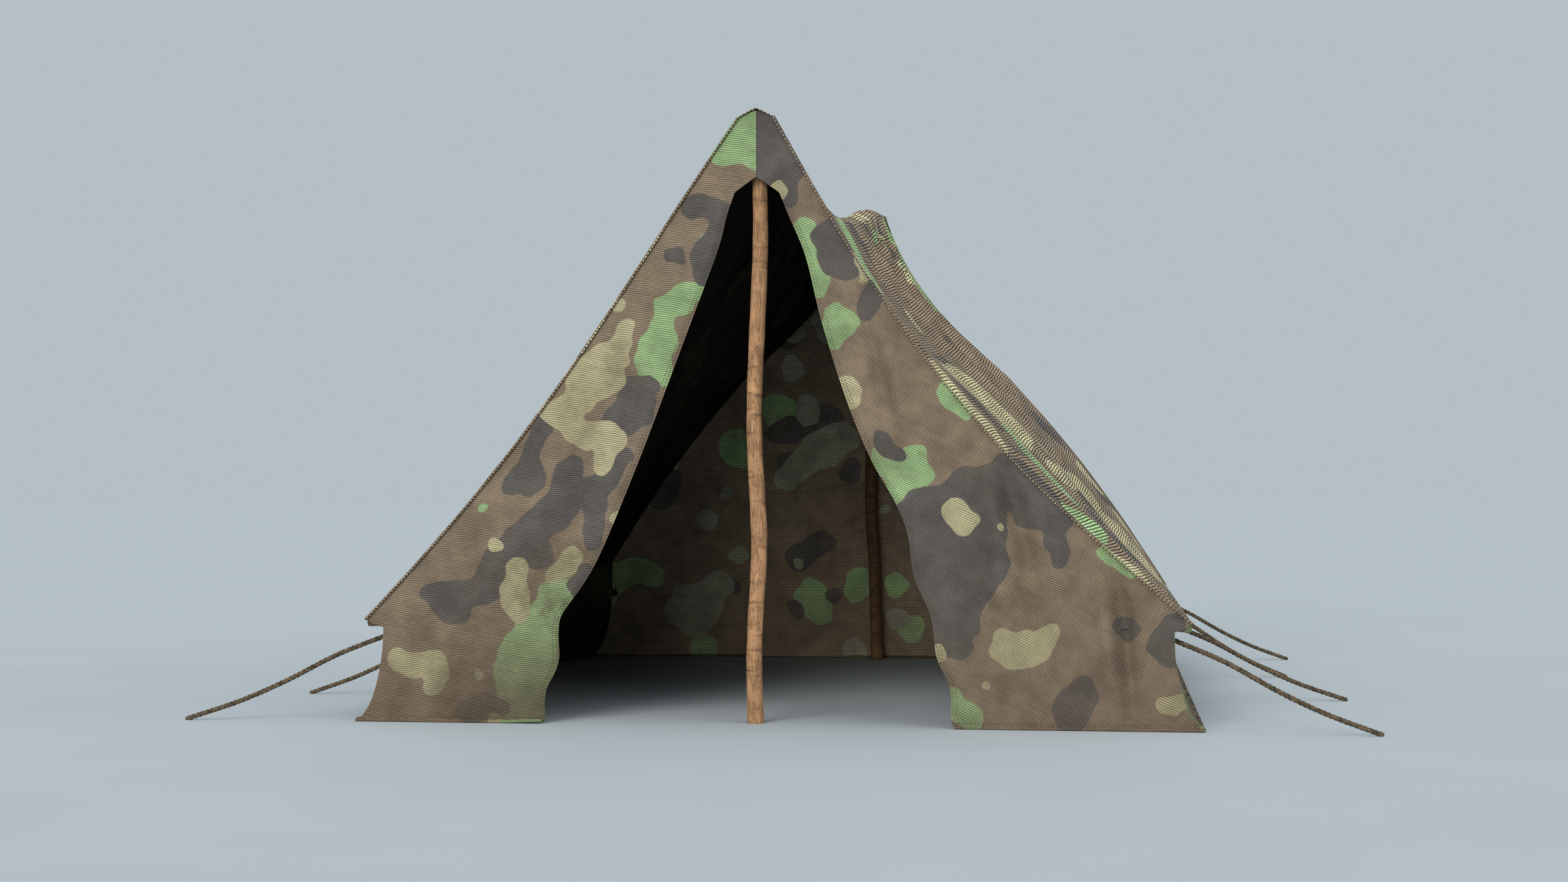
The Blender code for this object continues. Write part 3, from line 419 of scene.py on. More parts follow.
def marks_at(a, b, chains, grow=0.004):
    """Distance inside each print's blotches (positive) or outside them (negative), in metres."""
    pa, pb = np.asarray(a, float).ravel(), np.asarray(b, float).ravel()
    u = pa + 0.009 * np.sin(pb * 33 + 1.5 * np.sin(pa * 19)) + 0.0022 * np.sin(pb * 88 + pa * 50)
    w = pb + 0.009 * np.sin(pa * 30 + 1.7 * np.sin(pb * 22)) + 0.0022 * np.sin(pa * 81 - pb * 56)
    found = {}
    for tint in PRINTS:
        total = np.zeros(pa.size)
        spots = chains.get(tint, [])
        for (ax, az, ar), (bx, bz, br) in zip(spots, spots[1:] + spots[-1:]):
            gap = math.hypot(bx - ax, bz - az)
            if gap > ar + br + 0.025 or gap < 1e-6:
                inside = ar - np.hypot(u - ax, w - az)
            else:
                share = np.clip(((u - ax) * (bx - ax) + (w - az) * (bz - az)) / gap**2, 0, 1)
                inside = ar + (br - ar) * share - np.hypot(u - ax - (bx - ax) * share, w - az - (bz - az) * share)
            total += np.exp(np.clip(inside, -0.25, 0.25) * PRINT_SHARPNESS)
        found[tint] = np.clip(np.log(total + 1e-12) / PRINT_SHARPNESS + grow, NO_PRINT, -NO_PRINT).reshape(np.shape(a))
    return found


def scattered_marks(seed, a_range, b_range, share=1.0):
    """Seeded blotches of the same make for cloth that isn't laid out by hand."""
    wild = random.Random(seed)
    area = (a_range[1] - a_range[0]) * (b_range[1] - b_range[0])
    chains = {tint: [] for tint in PRINTS}
    for tint, per_metre, size, steps in SCATTER:
        for _ in range(max(1, round(per_metre * area * share))):
            a, b = wild.uniform(*a_range), wild.uniform(*b_range)
            heading = wild.uniform(0, 2 * math.pi)
            count = wild.randint(2, steps)
            for _ in range(count):
                radius = size * wild.uniform(0.55, 1.35)
                chains[tint].append((a, b, radius))
                heading += wild.uniform(-0.9, 0.9)
                a += math.cos(heading) * radius * 1.1
                b += math.sin(heading) * radius * 1.1
    return chains


# ---------------------------------------------------------------- building meshes


def link(made):
    bpy.context.scene.collection.objects.link(made)
    return made


def finish_mesh(name, points, faces, finishes, face_slots=None, angle=40):
    mesh = bpy.data.meshes.new(name)
    mesh.from_pydata([tuple(p) for p in points], [], faces)
    mesh.update()
    for finish in finishes:
        mesh.materials.append(finish)
    if face_slots is not None:
        mesh.polygons.foreach_set("material_index", face_slots)
    mesh.shade_smooth()
    mesh.set_sharp_from_angle(angle=math.radians(angle))
    return link(bpy.data.objects.new(name, mesh))


def lay_field(mesh, name, values):
    layer = mesh.attributes.new(name, "FLOAT", "POINT")
    layer.data.foreach_set("value", np.asarray(values, float).ravel())


def lay_uv(mesh, uv):
    layer = mesh.uv_layers.new(name="cloth")
    corners = np.zeros(len(mesh.loops), int)
    mesh.loops.foreach_get("vertex_index", corners)
    layer.data.foreach_set("uv", np.ascontiguousarray(uv[corners]).ravel())


def cloth_sheet(name, points, uv, prints, outward, finishes, thickness=CLOTH):
    """A closed sheet of cloth from a grid of points on its outer face, with its print and its UV in metres."""
    points = np.asarray(points, float)
    rows, cols = points.shape[:2]
    normal = np.cross(np.gradient(points, axis=1), np.gradient(points, axis=0))
    normal /= np.maximum(np.linalg.norm(normal, axis=2, keepdims=True), 1e-12)
    flip = float((normal * np.asarray(outward, float)).sum(2).mean()) < 0
    if flip:
        normal = -normal
    inner = points - normal * thickness
    under = rows * cols
    index = np.arange(under).reshape(rows, cols)
    a, b, c, d = index[:-1, :-1].ravel(), index[:-1, 1:].ravel(), index[1:, 1:].ravel(), index[1:, :-1].ravel()
    if flip:
        b, d = d, b
    outer_faces = np.stack([a, b, c, d], 1)
    inner_faces = outer_faces[:, ::-1] + under
    rim = list(index[0]) + list(index[1:, -1]) + list(index[-1, -2::-1]) + list(index[-2:0:-1, 0])
    if flip:
        rim = rim[::-1]
    rim_faces = [(p, q, q + under, p + under)[::-1] for p, q in zip(rim, rim[1:] + rim[:1])]
    faces = outer_faces.tolist() + inner_faces.tolist() + [tuple(int(v) for v in f) for f in rim_faces]
    slots = np.zeros(len(faces), np.int32)
    if len(finishes) > 1:
        slots[len(outer_faces) : 2 * len(outer_faces)] = 1
    made = finish_mesh(name, np.concatenate([points.reshape(-1, 3), inner.reshape(-1, 3)]), faces, finishes, slots, 50)
    uv = np.asarray(uv, float).reshape(-1, 2)
    lay_uv(made.data, np.concatenate([uv, uv]))
    for field, values in prints.items():
        lay_field(made.data, field, [values, values])
    return made


def tube_faces(count, sides):
    """Faces that join rings of points into a closed tube."""
    faces = []
    for i in range(count - 1):
        for j in range(sides):
            k = (j + 1) % sides
            faces.append((i * sides + j, i * sides + k, (i + 1) * sides + k, (i + 1) * sides + j))
    return faces + [tuple(range(sides - 1, -1, -1)), tuple(range((count - 1) * sides, count * sides))]


def roll(name, rings, prints_of, finish):
    """A closed roll of cloth through rings of points, with its print taken from where it lies."""
    rings = np.asarray(rings, float)
    count, sides = rings.shape[:2]
    faces = tube_faces(count, sides)
    flat = rings.reshape(-1, 3)
    made = finish_mesh(name, flat, faces, [finish], angle=55)
    face_out(made.data)
    along = np.concatenate([[0], np.cumsum(np.linalg.norm(np.diff(rings.mean(1), axis=0), axis=1))])
    uv = np.zeros((count, sides, 2))
    uv[..., 0] = along[:, None]
    uv[..., 1] = np.arange(sides)[None, :] * ROLL_UV_STEP
    lay_uv(made.data, uv.reshape(-1, 2))
    prints = prints_of(flat)
    for tint in PRINTS:
        lay_field(made.data, tint, prints[tint])
    return made


def face_out(mesh):
    """Turns a closed mesh's faces outwards."""
    work = bmesh.new()
    work.from_mesh(mesh)
    bmesh.ops.recalc_face_normals(work, faces=work.faces)
    work.to_mesh(mesh)
    work.free()


# ---------------------------------------------------------------- node trees


class Nodes:
    """Short forms for adding and joining nodes in one tree."""

    def __init__(self, tree):
        self.tree = tree

    def add(self, kind, inputs=None, **settings):
        node = self.tree.nodes.new(kind)
        for key, value in settings.items():
            setattr(node, key, value)
        for key, value in (inputs or {}).items():
            self.feed(node.inputs[key], value)
        return node

    def feed(self, socket, value):
        if isinstance(value, bpy.types.NodeSocket):
            self.tree.links.new(value, socket)
        elif value is not None:
            socket.default_value = value

    def math(self, operation, a, b=None, c=None, clamped=False):
        node = self.add("ShaderNodeMath", operation=operation, use_clamp=clamped)
        for socket, value in zip(node.inputs, (a, b, c)):
            self.feed(socket, value)
        return node.outputs[0]

    def blend(self, factor, a, b, how="MIX"):
        node = self.add("ShaderNodeMix", data_type="RGBA", blend_type=how)
        self.feed(node.inputs[0], factor)
        self.feed(node.inputs[6], a)
        self.feed(node.inputs[7], b)
        return node.outputs[2]

    def noise(self, vector, scale, detail=3.0, roughness=0.5, seed=0.0):
        node = self.add("ShaderNodeTexNoise", noise_dimensions="4D")
        given = {"Vector": vector, "W": seed, "Scale": scale, "Detail": detail, "Roughness": roughness}
        for key, value in given.items():
            self.feed(node.inputs[key], value)
        return node.outputs["Fac"]

    def place(self):
        return self.add("ShaderNodeTexCoord").outputs["Object"]

    def cloth_uv(self):
        return self.add("ShaderNodeUVMap", uv_map="cloth").outputs[0]

    def field(self, name):
        """What a piece's mesh carries at each point under this name."""
        return self.add("ShaderNodeAttribute", attribute_name=name, attribute_type="GEOMETRY").outputs["Fac"]

    def group(self, tree, inputs):
        return self.add("ShaderNodeGroup", inputs, node_tree=tree).outputs

    def raise_by(self, shader, height, strength, distance):
        """Gives a shader its bumps."""
        raised = self.add("ShaderNodeBump", {"Strength": strength, "Distance": distance, "Height": height})
        self.feed(shader.inputs["Normal"], raised.outputs[0])

    def stretch(self, vector, scale):
        node = self.add("ShaderNodeMapping", {"Vector": vector})
        node.inputs["Scale"].default_value = scale
        return node.outputs[0]

    def band(self, value, low, high, out_low=0.0, out_high=1.0):
        node = self.add("ShaderNodeMapRange", interpolation_type="SMOOTHSTEP")
        for socket, given in zip(node.inputs, (value, low, high, out_low, out_high)):
            self.feed(socket, given)
        return node.outputs[0]


def shader_group(name, inputs, outputs):
    """A new shader group with the given (name, kind, default) inputs and (name, kind) outputs."""
    tree = bpy.data.node_groups.new(name, "ShaderNodeTree")
    for label, kind, default in inputs:
        socket = tree.interface.new_socket(label, in_out="INPUT", socket_type=kind)
        if default is not None:
            socket.default_value = default
    for label, kind in outputs:
        tree.interface.new_socket(label, in_out="OUTPUT", socket_type=kind)
    nodes = Nodes(tree)
    return tree, nodes, nodes.add("NodeGroupInput").outputs, nodes.add("NodeGroupOutput").inputs


@lru_cache(maxsize=None)
def weave_group():
    """Ribbed canvas: raised ribs across V, finer threads across U, both a little uneven. The Shade output is painted
    shade in the troughs between the ribs, set by the rib painted shade, times an uneven tone from rib to rib.
    """
    tree, n, given, out = shader_group(
        "Canvas weave",
        [
            ("UV", "NodeSocketVector", None),
            ("Rib spacing", "NodeSocketFloat", 0.005),
            ("Thread spacing", "NodeSocketFloat", 0.003),
            ("Rib painted shade", "NodeSocketFloat", 0.6),
            ("Slub", "NodeSocketFloat", 0.2),
        ],
        [("Height", "NodeSocketFloat"), ("Shade", "NodeSocketFloat")],
    )
    split = n.add("ShaderNodeSeparateXYZ", {0: given["UV"]})
    wander = n.noise(given["UV"], 9.0, 2.0)
    sway = n.math("MULTIPLY", n.math("SUBTRACT", wander, 0.5), 2.5)
    turns = n.math("ADD", n.math("DIVIDE", split.outputs[1], given["Rib spacing"]), sway)
    rib = n.math("ADD", n.math("MULTIPLY", n.math("SINE", n.math("MULTIPLY", turns, 2 * math.pi)), 0.5), 0.5)
    half = n.math("MULTIPLY", n.math("FLOOR", turns), 0.5)
    threads = n.math("ADD", n.math("DIVIDE", split.outputs[0], given["Thread spacing"]), half)
    thread = n.math("ADD", n.math("MULTIPLY", n.math("SINE", n.math("MULTIPLY", threads, 2 * math.pi)), 0.5), 0.5)
    each = n.add("ShaderNodeTexWhiteNoise", {"W": n.math("FLOOR", turns)}, noise_dimensions="1D").outputs["Value"]
    streak = n.noise(n.stretch(given["UV"], (16.0, 210.0, 1.0)), 1.0, 2.0)
    height = n.math("MULTIPLY", n.math("POWER", rib, 0.7), n.math("MULTIPLY_ADD", thread, 0.35, 0.65))
    n.feed(out["Height"], height)
    uneven = n.math("MULTIPLY", n.math("SUBTRACT", n.math("MULTIPLY_ADD", each, 0.5, streak), 0.75), given["Slub"])
    # Painted shade: the colour darkens where the rib height is low, in the troughs between the ribs.
    ribbed = n.math("MULTIPLY", n.math("SUBTRACT", height, 0.58), given["Rib painted shade"])
    n.feed(out["Shade"], n.math("ADD", n.math("ADD", ribbed, 0.86), uneven))
    return tree


@lru_cache(maxsize=None)
def print_group():
    """Camouflage print: four dyes, with edges a little ragged and the dye worn unevenly."""
    tints = ("Ground", "Green", "Dark", "Pale")
    tree, n, given, out = shader_group(
        "Camouflage print",
        [("UV", "NodeSocketVector", None)] + [(tint, "NodeSocketColor", (0.5, 0.5, 0.5, 1)) for tint in tints],
        [("Color", "NodeSocketColor")],
    )
    ragged = n.math("SUBTRACT", n.noise(given["UV"], 120.0, 3.0, 0.7), 0.5)
    loose = n.math("SUBTRACT", n.noise(given["UV"], 22.0, 2.0), 0.5)
    offset = n.math("MULTIPLY_ADD", ragged, 0.005, n.math("MULTIPLY", loose, 0.009))
    colour = given["Ground"]
    for tint in ("Green", "Dark", "Pale"):
        inside = n.field(tint.lower())
        mask = n.band(n.math("ADD", inside, offset), -0.0022, 0.0022)
        colour = n.blend(mask, colour, given[tint])
    n.feed(out["Color"], colour)
    return tree


@lru_cache(maxsize=None)
def soil_group():
    """Soil, fading and stains: a slow unevenness, with more soil near the ground."""
    tree, n, given, out = shader_group(
        "Soil and fading",
        [
            ("Color", "NodeSocketColor", (0.5, 0.5, 0.5, 1)),
            ("Soil", "NodeSocketColor", (0.1, 0.08, 0.06, 1)),
            ("Amount", "NodeSocketFloat", 0.5),
        ],
        [("Color", "NodeSocketColor"), ("Mask", "NodeSocketFloat")],
    )
    place = n.place()
    height = n.add("ShaderNodeSeparateXYZ", {0: place}).outputs[2]
    slow = n.noise(place, 3.2, 4.0, 0.6)
    quick = n.noise(place, 24.0, 4.0, 0.65, 3.0)
    low = n.band(height, 0.0, 0.6, 0.95, 0.0)
    blot = n.band(n.math("MULTIPLY_ADD", slow, 0.7, n.math("MULTIPLY", quick, 0.3)), 0.44, 0.68)
    mask = n.math("MULTIPLY", n.math("MAXIMUM", blot, low), given["Amount"])
    fade = n.band(n.noise(place, 8.5, 5.0, 0.62, 8.0), 0.32, 0.7, 0.8, 1.2)
    n.feed(out["Color"], n.blend(1.0, n.blend(mask, given["Color"], given["Soil"]), fade, "MULTIPLY"))
    n.feed(out["Mask"], mask)
    return tree


def new_material(name):
    made = bpy.data.materials.new(name)
    made.use_nodes = True
    made.node_tree.nodes.clear()
    n = Nodes(made.node_tree)
    shader = n.add("ShaderNodeBsdfPrincipled")
    end = n.add("ShaderNodeOutputMaterial", {"Surface": shader.outputs[0]})
    end.location.x = 400
    return made, n, shader


def solid(colour):
    return (*colour[:3], 1.0)


def tinted(colour, shade, most=math.inf):
    """A colour made lighter or darker, with no part of it above a most."""
    return solid([min(most, c * shade) for c in colour])


@lru_cache(maxsize=None)
def canvas_material(name, shade, bump=0.6, ribs=0.85, slub=0.14):
    """Printed canvas. The shade scales the dyes as painted light: below 1 it paints shade, above 1 it paints light, so
    each copy of the canvas is lit or shaded by its colour. The ribs set the painted shade between the weave's ribs.
    """
    dyes = bpy.context.scene.tent_dyes
    sizes = bpy.context.scene.tent_cloth
    made, n, shader = new_material(name)
    uv = n.cloth_uv()
    printed = n.group(
        print_group(),
        {
            "UV": uv,
            "Ground": tinted(dyes.ground, shade),
            "Green": tinted(dyes.green, shade),
            "Dark": tinted(dyes.dark, shade),
            "Pale": tinted(dyes.pale, shade, PALE_MOST),
        },
    )
    weave = n.group(
        weave_group(),
        {
            "UV": uv,
            "Rib spacing": sizes.rib_spacing,
            "Thread spacing": sizes.thread_spacing,
            "Rib painted shade": ribs,
            "Slub": slub,
        },
    )
    amount = n.math("ADD", n.field("wear"), 0.5)
    soil = n.group(soil_group(), {"Color": printed["Color"], "Soil": tinted(dyes.soil, shade), "Amount": amount})
    # The weave's Shade multiplies in painted shade between the ribs and an uneven tone.
    n.feed(shader.inputs["Base Color"], n.blend(1.0, soil["Color"], weave["Shade"], "MULTIPLY"))
    n.feed(shader.inputs["Roughness"], n.math("MULTIPLY_ADD", soil["Mask"], 0.1, 0.84))
    shader.inputs["Specular IOR Level"].default_value = 0.18
    n.raise_by(shader, weave["Height"], bump, 0.0016)
    return made


def bark_material(name, light, dark, seed):
    """Peeled branch: long grain streaks, short cracks, cross creases and rubbed patches."""
    made, n, shader = new_material(name)
    place = n.cloth_uv()
    grain = n.noise(n.stretch(place, (42.0, 4.0, 1.0)), 1.0, 6.0, 0.62, seed)
    fine = n.noise(n.stretch(place, (240.0, 16.0, 1.0)), 1.0, 4.0, 0.6, seed + 2)
    patch = n.noise(place, 9.0, 4.0, 0.55, seed + 4)
    crack_field = n.noise(n.stretch(place, (95.0, 10.0, 1.0)), 1.0, 3.0, 0.75, seed + 6)
    crack = n.band(n.math("ABSOLUTE", n.math("SUBTRACT", crack_field, 0.5)), 0.0, 0.05, 1.0, 0.0)
    where = n.band(n.noise(place, 16.0, 2.0, 0.5, seed + 8), 0.38, 0.52)
    crack = n.math("MULTIPLY", crack, where)
    fleck = n.band(n.noise(n.stretch(place, (70.0, 200.0, 1.0)), 1.0, 2.0, 0.6, seed + 9), 0.6, 0.7)
    crease = n.field("crease")
    colour = n.blend(n.band(grain, 0.3, 0.7), solid(light), solid([mix(a, b, 0.42) for a, b in zip(light, dark)]))
    colour = n.blend(n.band(patch, 0.4, 0.66, 0.0, 0.75), colour, tinted(light, 0.64))
    colour = n.blend(n.math("MULTIPLY", n.band(fine, 0.5, 0.7), 0.35), colour, tinted(light, 1.35, 1.0))
    colour = n.blend(n.math("MULTIPLY", fleck, 0.75), colour, solid(dark))
    open_bark = n.math("MAXIMUM", n.math("MULTIPLY", crack, 0.42), n.math("MULTIPLY", crease, 0.7))
    colour = n.blend(open_bark, colour, tinted(dark, 0.3))
    n.feed(shader.inputs["Base Color"], colour)
    n.feed(shader.inputs["Roughness"], n.band(fine, 0.2, 0.8, 0.62, 0.85))
    shader.inputs["Specular IOR Level"].default_value = 0.3
    high = n.math("SUBTRACT", n.math("MULTIPLY_ADD", fine, 0.3, grain), n.math("MULTIPLY", crack, 1.4))
    n.raise_by(shader, high, 0.7, 0.0018)
    return made


def rope_material():
    """Laid hemp: dark flecks and fibre streaks."""
    dyes = bpy.context.scene.tent_dyes
    made, n, shader = new_material("laid_hemp")
    place = n.place()
    fibre = n.noise(n.stretch(place, (260.0, 900.0, 520.0)), 1.0, 3.0, 0.6)
    patch = n.noise(place, 60.0, 4.0, 0.65, 4.0)
    colour = n.blend(n.band(patch, 0.35, 0.66), solid(dyes.rope), tinted(dyes.rope, 0.26))
    colour = n.blend(n.band(fibre, 0.5, 0.75, 0.0, 0.6), colour, tinted(dyes.rope, 1.8, 1.0))
    n.feed(shader.inputs["Base Color"], colour)
    n.feed(shader.inputs["Roughness"], n.band(fibre, 0.2, 0.8, 0.8, 0.95))
    shader.inputs["Specular IOR Level"].default_value = 0.15
    n.raise_by(shader, fibre, 0.6, 0.0008)
    return made


@lru_cache(maxsize=None)
def thread_material():
    made, n, shader = new_material("waxed_thread")
    place = n.place()
    twist = n.noise(place, 700.0, 2.0)
    colour = bpy.context.scene.tent_dyes.thread
    n.feed(shader.inputs["Base Color"], n.blend(n.band(twist, 0.3, 0.7), solid(colour), tinted(colour, 1.9)))
    n.feed(shader.inputs["Roughness"], n.band(twist, 0.2, 0.8, 0.55, 0.75))
    return made


@lru_cache(maxsize=None)
def tape_material():
    """Plain webbing tape with a narrow herringbone."""
    dyes = bpy.context.scene.tent_dyes
    made, n, shader = new_material("webbing_tape")
    weave = n.group(weave_group(), {"UV": n.cloth_uv(), "Rib spacing": 0.0025, "Thread spacing": 0.002})
    soil = n.group(soil_group(), {"Color": solid(dyes.tape), "Soil": tinted(dyes.tape, 0.5), "Amount": 0.45})
    # The weave's Shade paints shade between the tape's ribs.
    n.feed(shader.inputs["Base Color"], n.blend(1.0, soil["Color"], weave["Shade"], "MULTIPLY"))
    n.feed(shader.inputs["Roughness"], n.math("MULTIPLY_ADD", soil["Mask"], 0.1, 0.82))
    shader.inputs["Specular IOR Level"].default_value = 0.2
    n.raise_by(shader, weave["Height"], 0.5, 0.001)
    return made


def leather_material():
    made, n, shader = new_material("oiled_leather")
    place = n.place()
    cells = n.add("ShaderNodeTexVoronoi", {"Vector": place, "Scale": 520.0}, feature="F1").outputs["Distance"]
    slow = n.noise(place, 40.0, 4.0, 0.6)
    colour = bpy.context.scene.tent_dyes.leather
    n.feed(shader.inputs["Base Color"], n.blend(n.band(slow, 0.35, 0.7), solid(colour), tinted(colour, 0.45)))
    n.feed(shader.inputs["Roughness"], n.band(slow, 0.3, 0.7, 0.45, 0.7))
    n.raise_by(shader, cells, 0.5, 0.0006)
    return made


def brass_material():
    made, n, shader = new_material("aged_brass")
    place = n.place()
    slow = n.noise(place, 90.0, 4.0, 0.6)
    fine = n.noise(place, 900.0, 2.0, 0.6, 3.0)
    colour = bpy.context.scene.tent_dyes.brass
    tarnish = n.band(slow, 0.42, 0.62)
    n.feed(shader.inputs["Base Color"], n.blend(tarnish, solid(colour), tinted(colour, 0.35)))
    n.feed(shader.inputs["Metallic"], n.math("MULTIPLY_ADD", tarnish, -0.25, 1.0))
    n.feed(shader.inputs["Roughness"], n.math("MULTIPLY_ADD", tarnish, 0.3, n.band(fine, 0.2, 0.8, 0.24, 0.4)))
    n.raise_by(shader, fine, 0.2, 0.0004)
    return made


# ---------------------------------------------------------------- geometry nodes


def geometry_group(name, inputs):
    """A new geometry tree with a Geometry input and output, and the given inputs by name and kind."""
    tree = bpy.data.node_groups.new(name, "GeometryNodeTree")
    tree.interface.new_socket("Geometry", in_out="INPUT", socket_type="NodeSocketGeometry")
    for label, kind in inputs.items():
        tree.interface.new_socket(label, in_out="INPUT", socket_type="NodeSocket" + kind)
    tree.interface.new_socket("Geometry", in_out="OUTPUT", socket_type="NodeSocketGeometry")
    nodes = Nodes(tree)
    return tree, nodes, nodes.add("NodeGroupInput").outputs, nodes.add("NodeGroupOutput").inputs


@lru_cache(maxsize=None)
def stitch_tree():
    """Short stitches at an even spacing along every path."""
    tree, n, given, out = geometry_group(
        "Stitches",
        {"Spacing": "Float", "Length": "Float", "Thickness": "Float", "Material": "Material"},
    )
    path = n.add("GeometryNodeMeshToCurve", {"Mesh": given["Geometry"]})
    spots = n.add("GeometryNodeCurveToPoints", {"Curve": path.outputs[0], "Length": given["Spacing"]}, mode="LENGTH")
    bead = n.add("GeometryNodeMeshUVSphere", {"Segments": 6, "Rings": 4, "Radius": 1.0})
    shape = n.add("ShaderNodeCombineXYZ", {0: given["Thickness"], 1: given["Thickness"], 2: given["Length"]})
    laid = n.add("GeometryNodeInstanceOnPoints", {"Points": spots.outputs["Points"], "Instance": bead.outputs[0]})
    n.feed(laid.inputs["Rotation"], spots.outputs["Rotation"])
    n.feed(laid.inputs["Scale"], shape.outputs[0])
    real = n.add("GeometryNodeRealizeInstances", {0: laid.outputs[0]})
    done = n.add("GeometryNodeSetMaterial", {"Geometry": real.outputs[0], "Material": given["Material"]})
    n.feed(out[0], done.outputs[0])
    return tree


@lru_cache(maxsize=None)
def strand_tree():
    """Three strands laid round every path."""
    tree, n, given, out = geometry_group(
        "Laid strands",
        {"Radius": "Float", "Lay": "Float", "Step": "Float", "Material": "Material"},
    )
    path = n.add("GeometryNodeMeshToCurve", {"Mesh": given["Geometry"]})
    even = n.add("GeometryNodeResampleCurve", {"Curve": path.outputs[0], "Length": given["Step"]}, mode="LENGTH")
    along = n.add("GeometryNodeSplineParameter").outputs["Length"]
    tangent = n.add("GeometryNodeInputTangent").outputs[0]
    normal = n.add("GeometryNodeInputNormal").outputs[0]
    reach = n.math("MULTIPLY", given["Radius"], 0.5)
    ring = n.add("GeometryNodeCurvePrimitiveCircle", {"Resolution": 8}, mode="RADIUS")
    n.feed(ring.inputs["Radius"], n.math("MULTIPLY", given["Radius"], 0.52))
    joined = n.add("GeometryNodeJoinGeometry")
    for k in range(3):
        turns = n.math("MULTIPLY", n.math("DIVIDE", along, given["Lay"]), 2 * math.pi)
        turn = n.math("ADD", turns, 2 * math.pi * k / 3)
        turned = {"Vector": normal, "Axis": tangent, "Angle": turn}
        aside = n.add("ShaderNodeVectorRotate", turned, rotation_type="AXIS_ANGLE")
        scaled = n.add("ShaderNodeVectorMath", {0: aside.outputs[0]}, operation="SCALE")
        n.feed(scaled.inputs["Scale"], reach)
        strand = n.add("GeometryNodeSetPosition", {"Geometry": even.outputs[0], "Offset": scaled.outputs[0]})
        swept = {"Curve": strand.outputs[0], "Profile Curve": ring.outputs[0], "Fill Caps": True}
        tube = n.add("GeometryNodeCurveToMesh", swept)
        n.tree.links.new(tube.outputs[0], joined.inputs[0])
    real = n.add("GeometryNodeRealizeInstances", {0: joined.outputs[0]})
    done = n.add("GeometryNodeSetMaterial", {"Geometry": real.outputs[0], "Material": given["Material"]})
    n.feed(out[0], done.outputs[0])
    return tree


def grown(name, paths, tree, values, closed=False):
    """A plain mesh made by a geometry tree along the given paths."""
    points, edges = [], []
    for path in paths:
        start = len(points)
        points += [tuple(p) for p in path]
        edges += [(k, k + 1) for k in range(start, len(points) - 1)]
        if closed:
            edges.append((len(points) - 1, start))
    mesh = bpy.data.meshes.new(name)
    mesh.from_pydata(points, edges, [])
    seed = link(bpy.data.objects.new(name, mesh))
    modifier = seed.modifiers.new("grow", "NODES")
    modifier.node_group = tree
    sockets = {s.name: s.identifier for s in tree.interface.items_tree if s.in_out == "INPUT"}
    for label, value in values.items():
        modifier[sockets[label]] = value
    graph = bpy.context.evaluated_depsgraph_get()
    result = bpy.data.meshes.new_from_object(seed.evaluated_get(graph))
    bpy.data.objects.remove(seed)
    bpy.data.meshes.remove(mesh)
    result.name = name
    if not result.polygons:
        raise RuntimeError(f"{name} came out empty")
    return link(bpy.data.objects.new(name, result))


# ---------------------------------------------------------------- settings


def length(name, description, default, least):
    return bpy.props.FloatProperty(name=name, description=description, default=default, min=least, unit="LENGTH")


def colour(name, description, default):
    return bpy.props.FloatVectorProperty(name=name, description=description, default=default, subtype="COLOR")


class TentCloth(bpy.types.PropertyGroup):
    rib_spacing: length("Rib spacing", "Distance between the canvas's ribs", 0.0068, 0.002)
    thread_spacing: length("Thread spacing", "Distance between the threads across a rib", 0.0034, 0.001)
    mesh_step: length("Mesh step", "Distance between the points of a cloth mesh", 0.0125, 0.006)
    stitch_spacing: length("Stitch spacing", "Distance from one stitch to the next", 0.013, 0.004)
    stitch_length: length("Stitch length", "Half the length of one stitch", 0.0042, 0.001)
    stitch_thickness: length("Stitch thickness", "Half the thickness of the thread", 0.0009, 0.0003)
    rope_lay: length("Rope lay", "Length of one full turn of a rope's strands", 0.05, 0.01)


class TentDyes(bpy.types.PropertyGroup):
    ground: colour("Ground", "Brown ground of the print", (0.245, 0.184, 0.127))
    green: colour("Green", "Green of the print", (0.30, 0.43, 0.205))
    dark: colour("Dark", "Charcoal of the print", (0.115, 0.103, 0.094))
    pale: colour("Pale", "Pale yellow-green of the print", (0.45, 0.405, 0.24))
    soil: colour("Soil", "Earth rubbed into the cloth", (0.12, 0.088, 0.06))
    tape: colour("Tape", "Webbing tape", (0.11, 0.085, 0.06))
    thread: colour("Thread", "Sewing thread", (0.05, 0.038, 0.028))
    rope: colour("Rope", "Guy ropes", (0.14, 0.105, 0.07))
    timber: colour("Timber", "Poles", (0.52, 0.285, 0.14))
    leather: colour("Leather", "Cups over the pole tips", (0.12, 0.06, 0.03))
    brass: colour("Brass", "Eyelets", (0.62, 0.46, 0.2))


class TentStudio(bpy.types.PropertyGroup):
    floor: colour("Floor", "Floor and backdrop", (0.466, 0.515, 0.552))
    lens: bpy.props.FloatProperty(name="Lens", description="Focal length in millimetres", default=52.94, min=20)
    room: colour("Room", "Colour of the room and of its even light", (0.46, 0.522, 0.56))
    key: bpy.props.FloatProperty(name="Key light", description="Strength of the overhead light", default=1.9, min=0)
    sky: bpy.props.FloatProperty(
        name="Room light", description="Strength of the even light from all round", default=1.0, min=0
    )


# ---------------------------------------------------------------- pieces


def belongs(piece, slot, *nodes):
    """A piece that stands still with the tent: the CAD solids that it stands for, which are hidden. The slot, where its
    finish comes from, is not used.
    """
    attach(piece, "tent")
    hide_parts(*nodes)


def eyelet_place(side, number):
    share = (number - 1) / (len(GUYS[side]) - 1)
    y = mix(FRONT_Y + EYELET_FROM_END, REAR_Y - EYELET_FROM_END, share)
    return Vector((side * (wall_x(station(y), EYELET_HEIGHT) - CLOTH / 2), y, EYELET_HEIGHT))


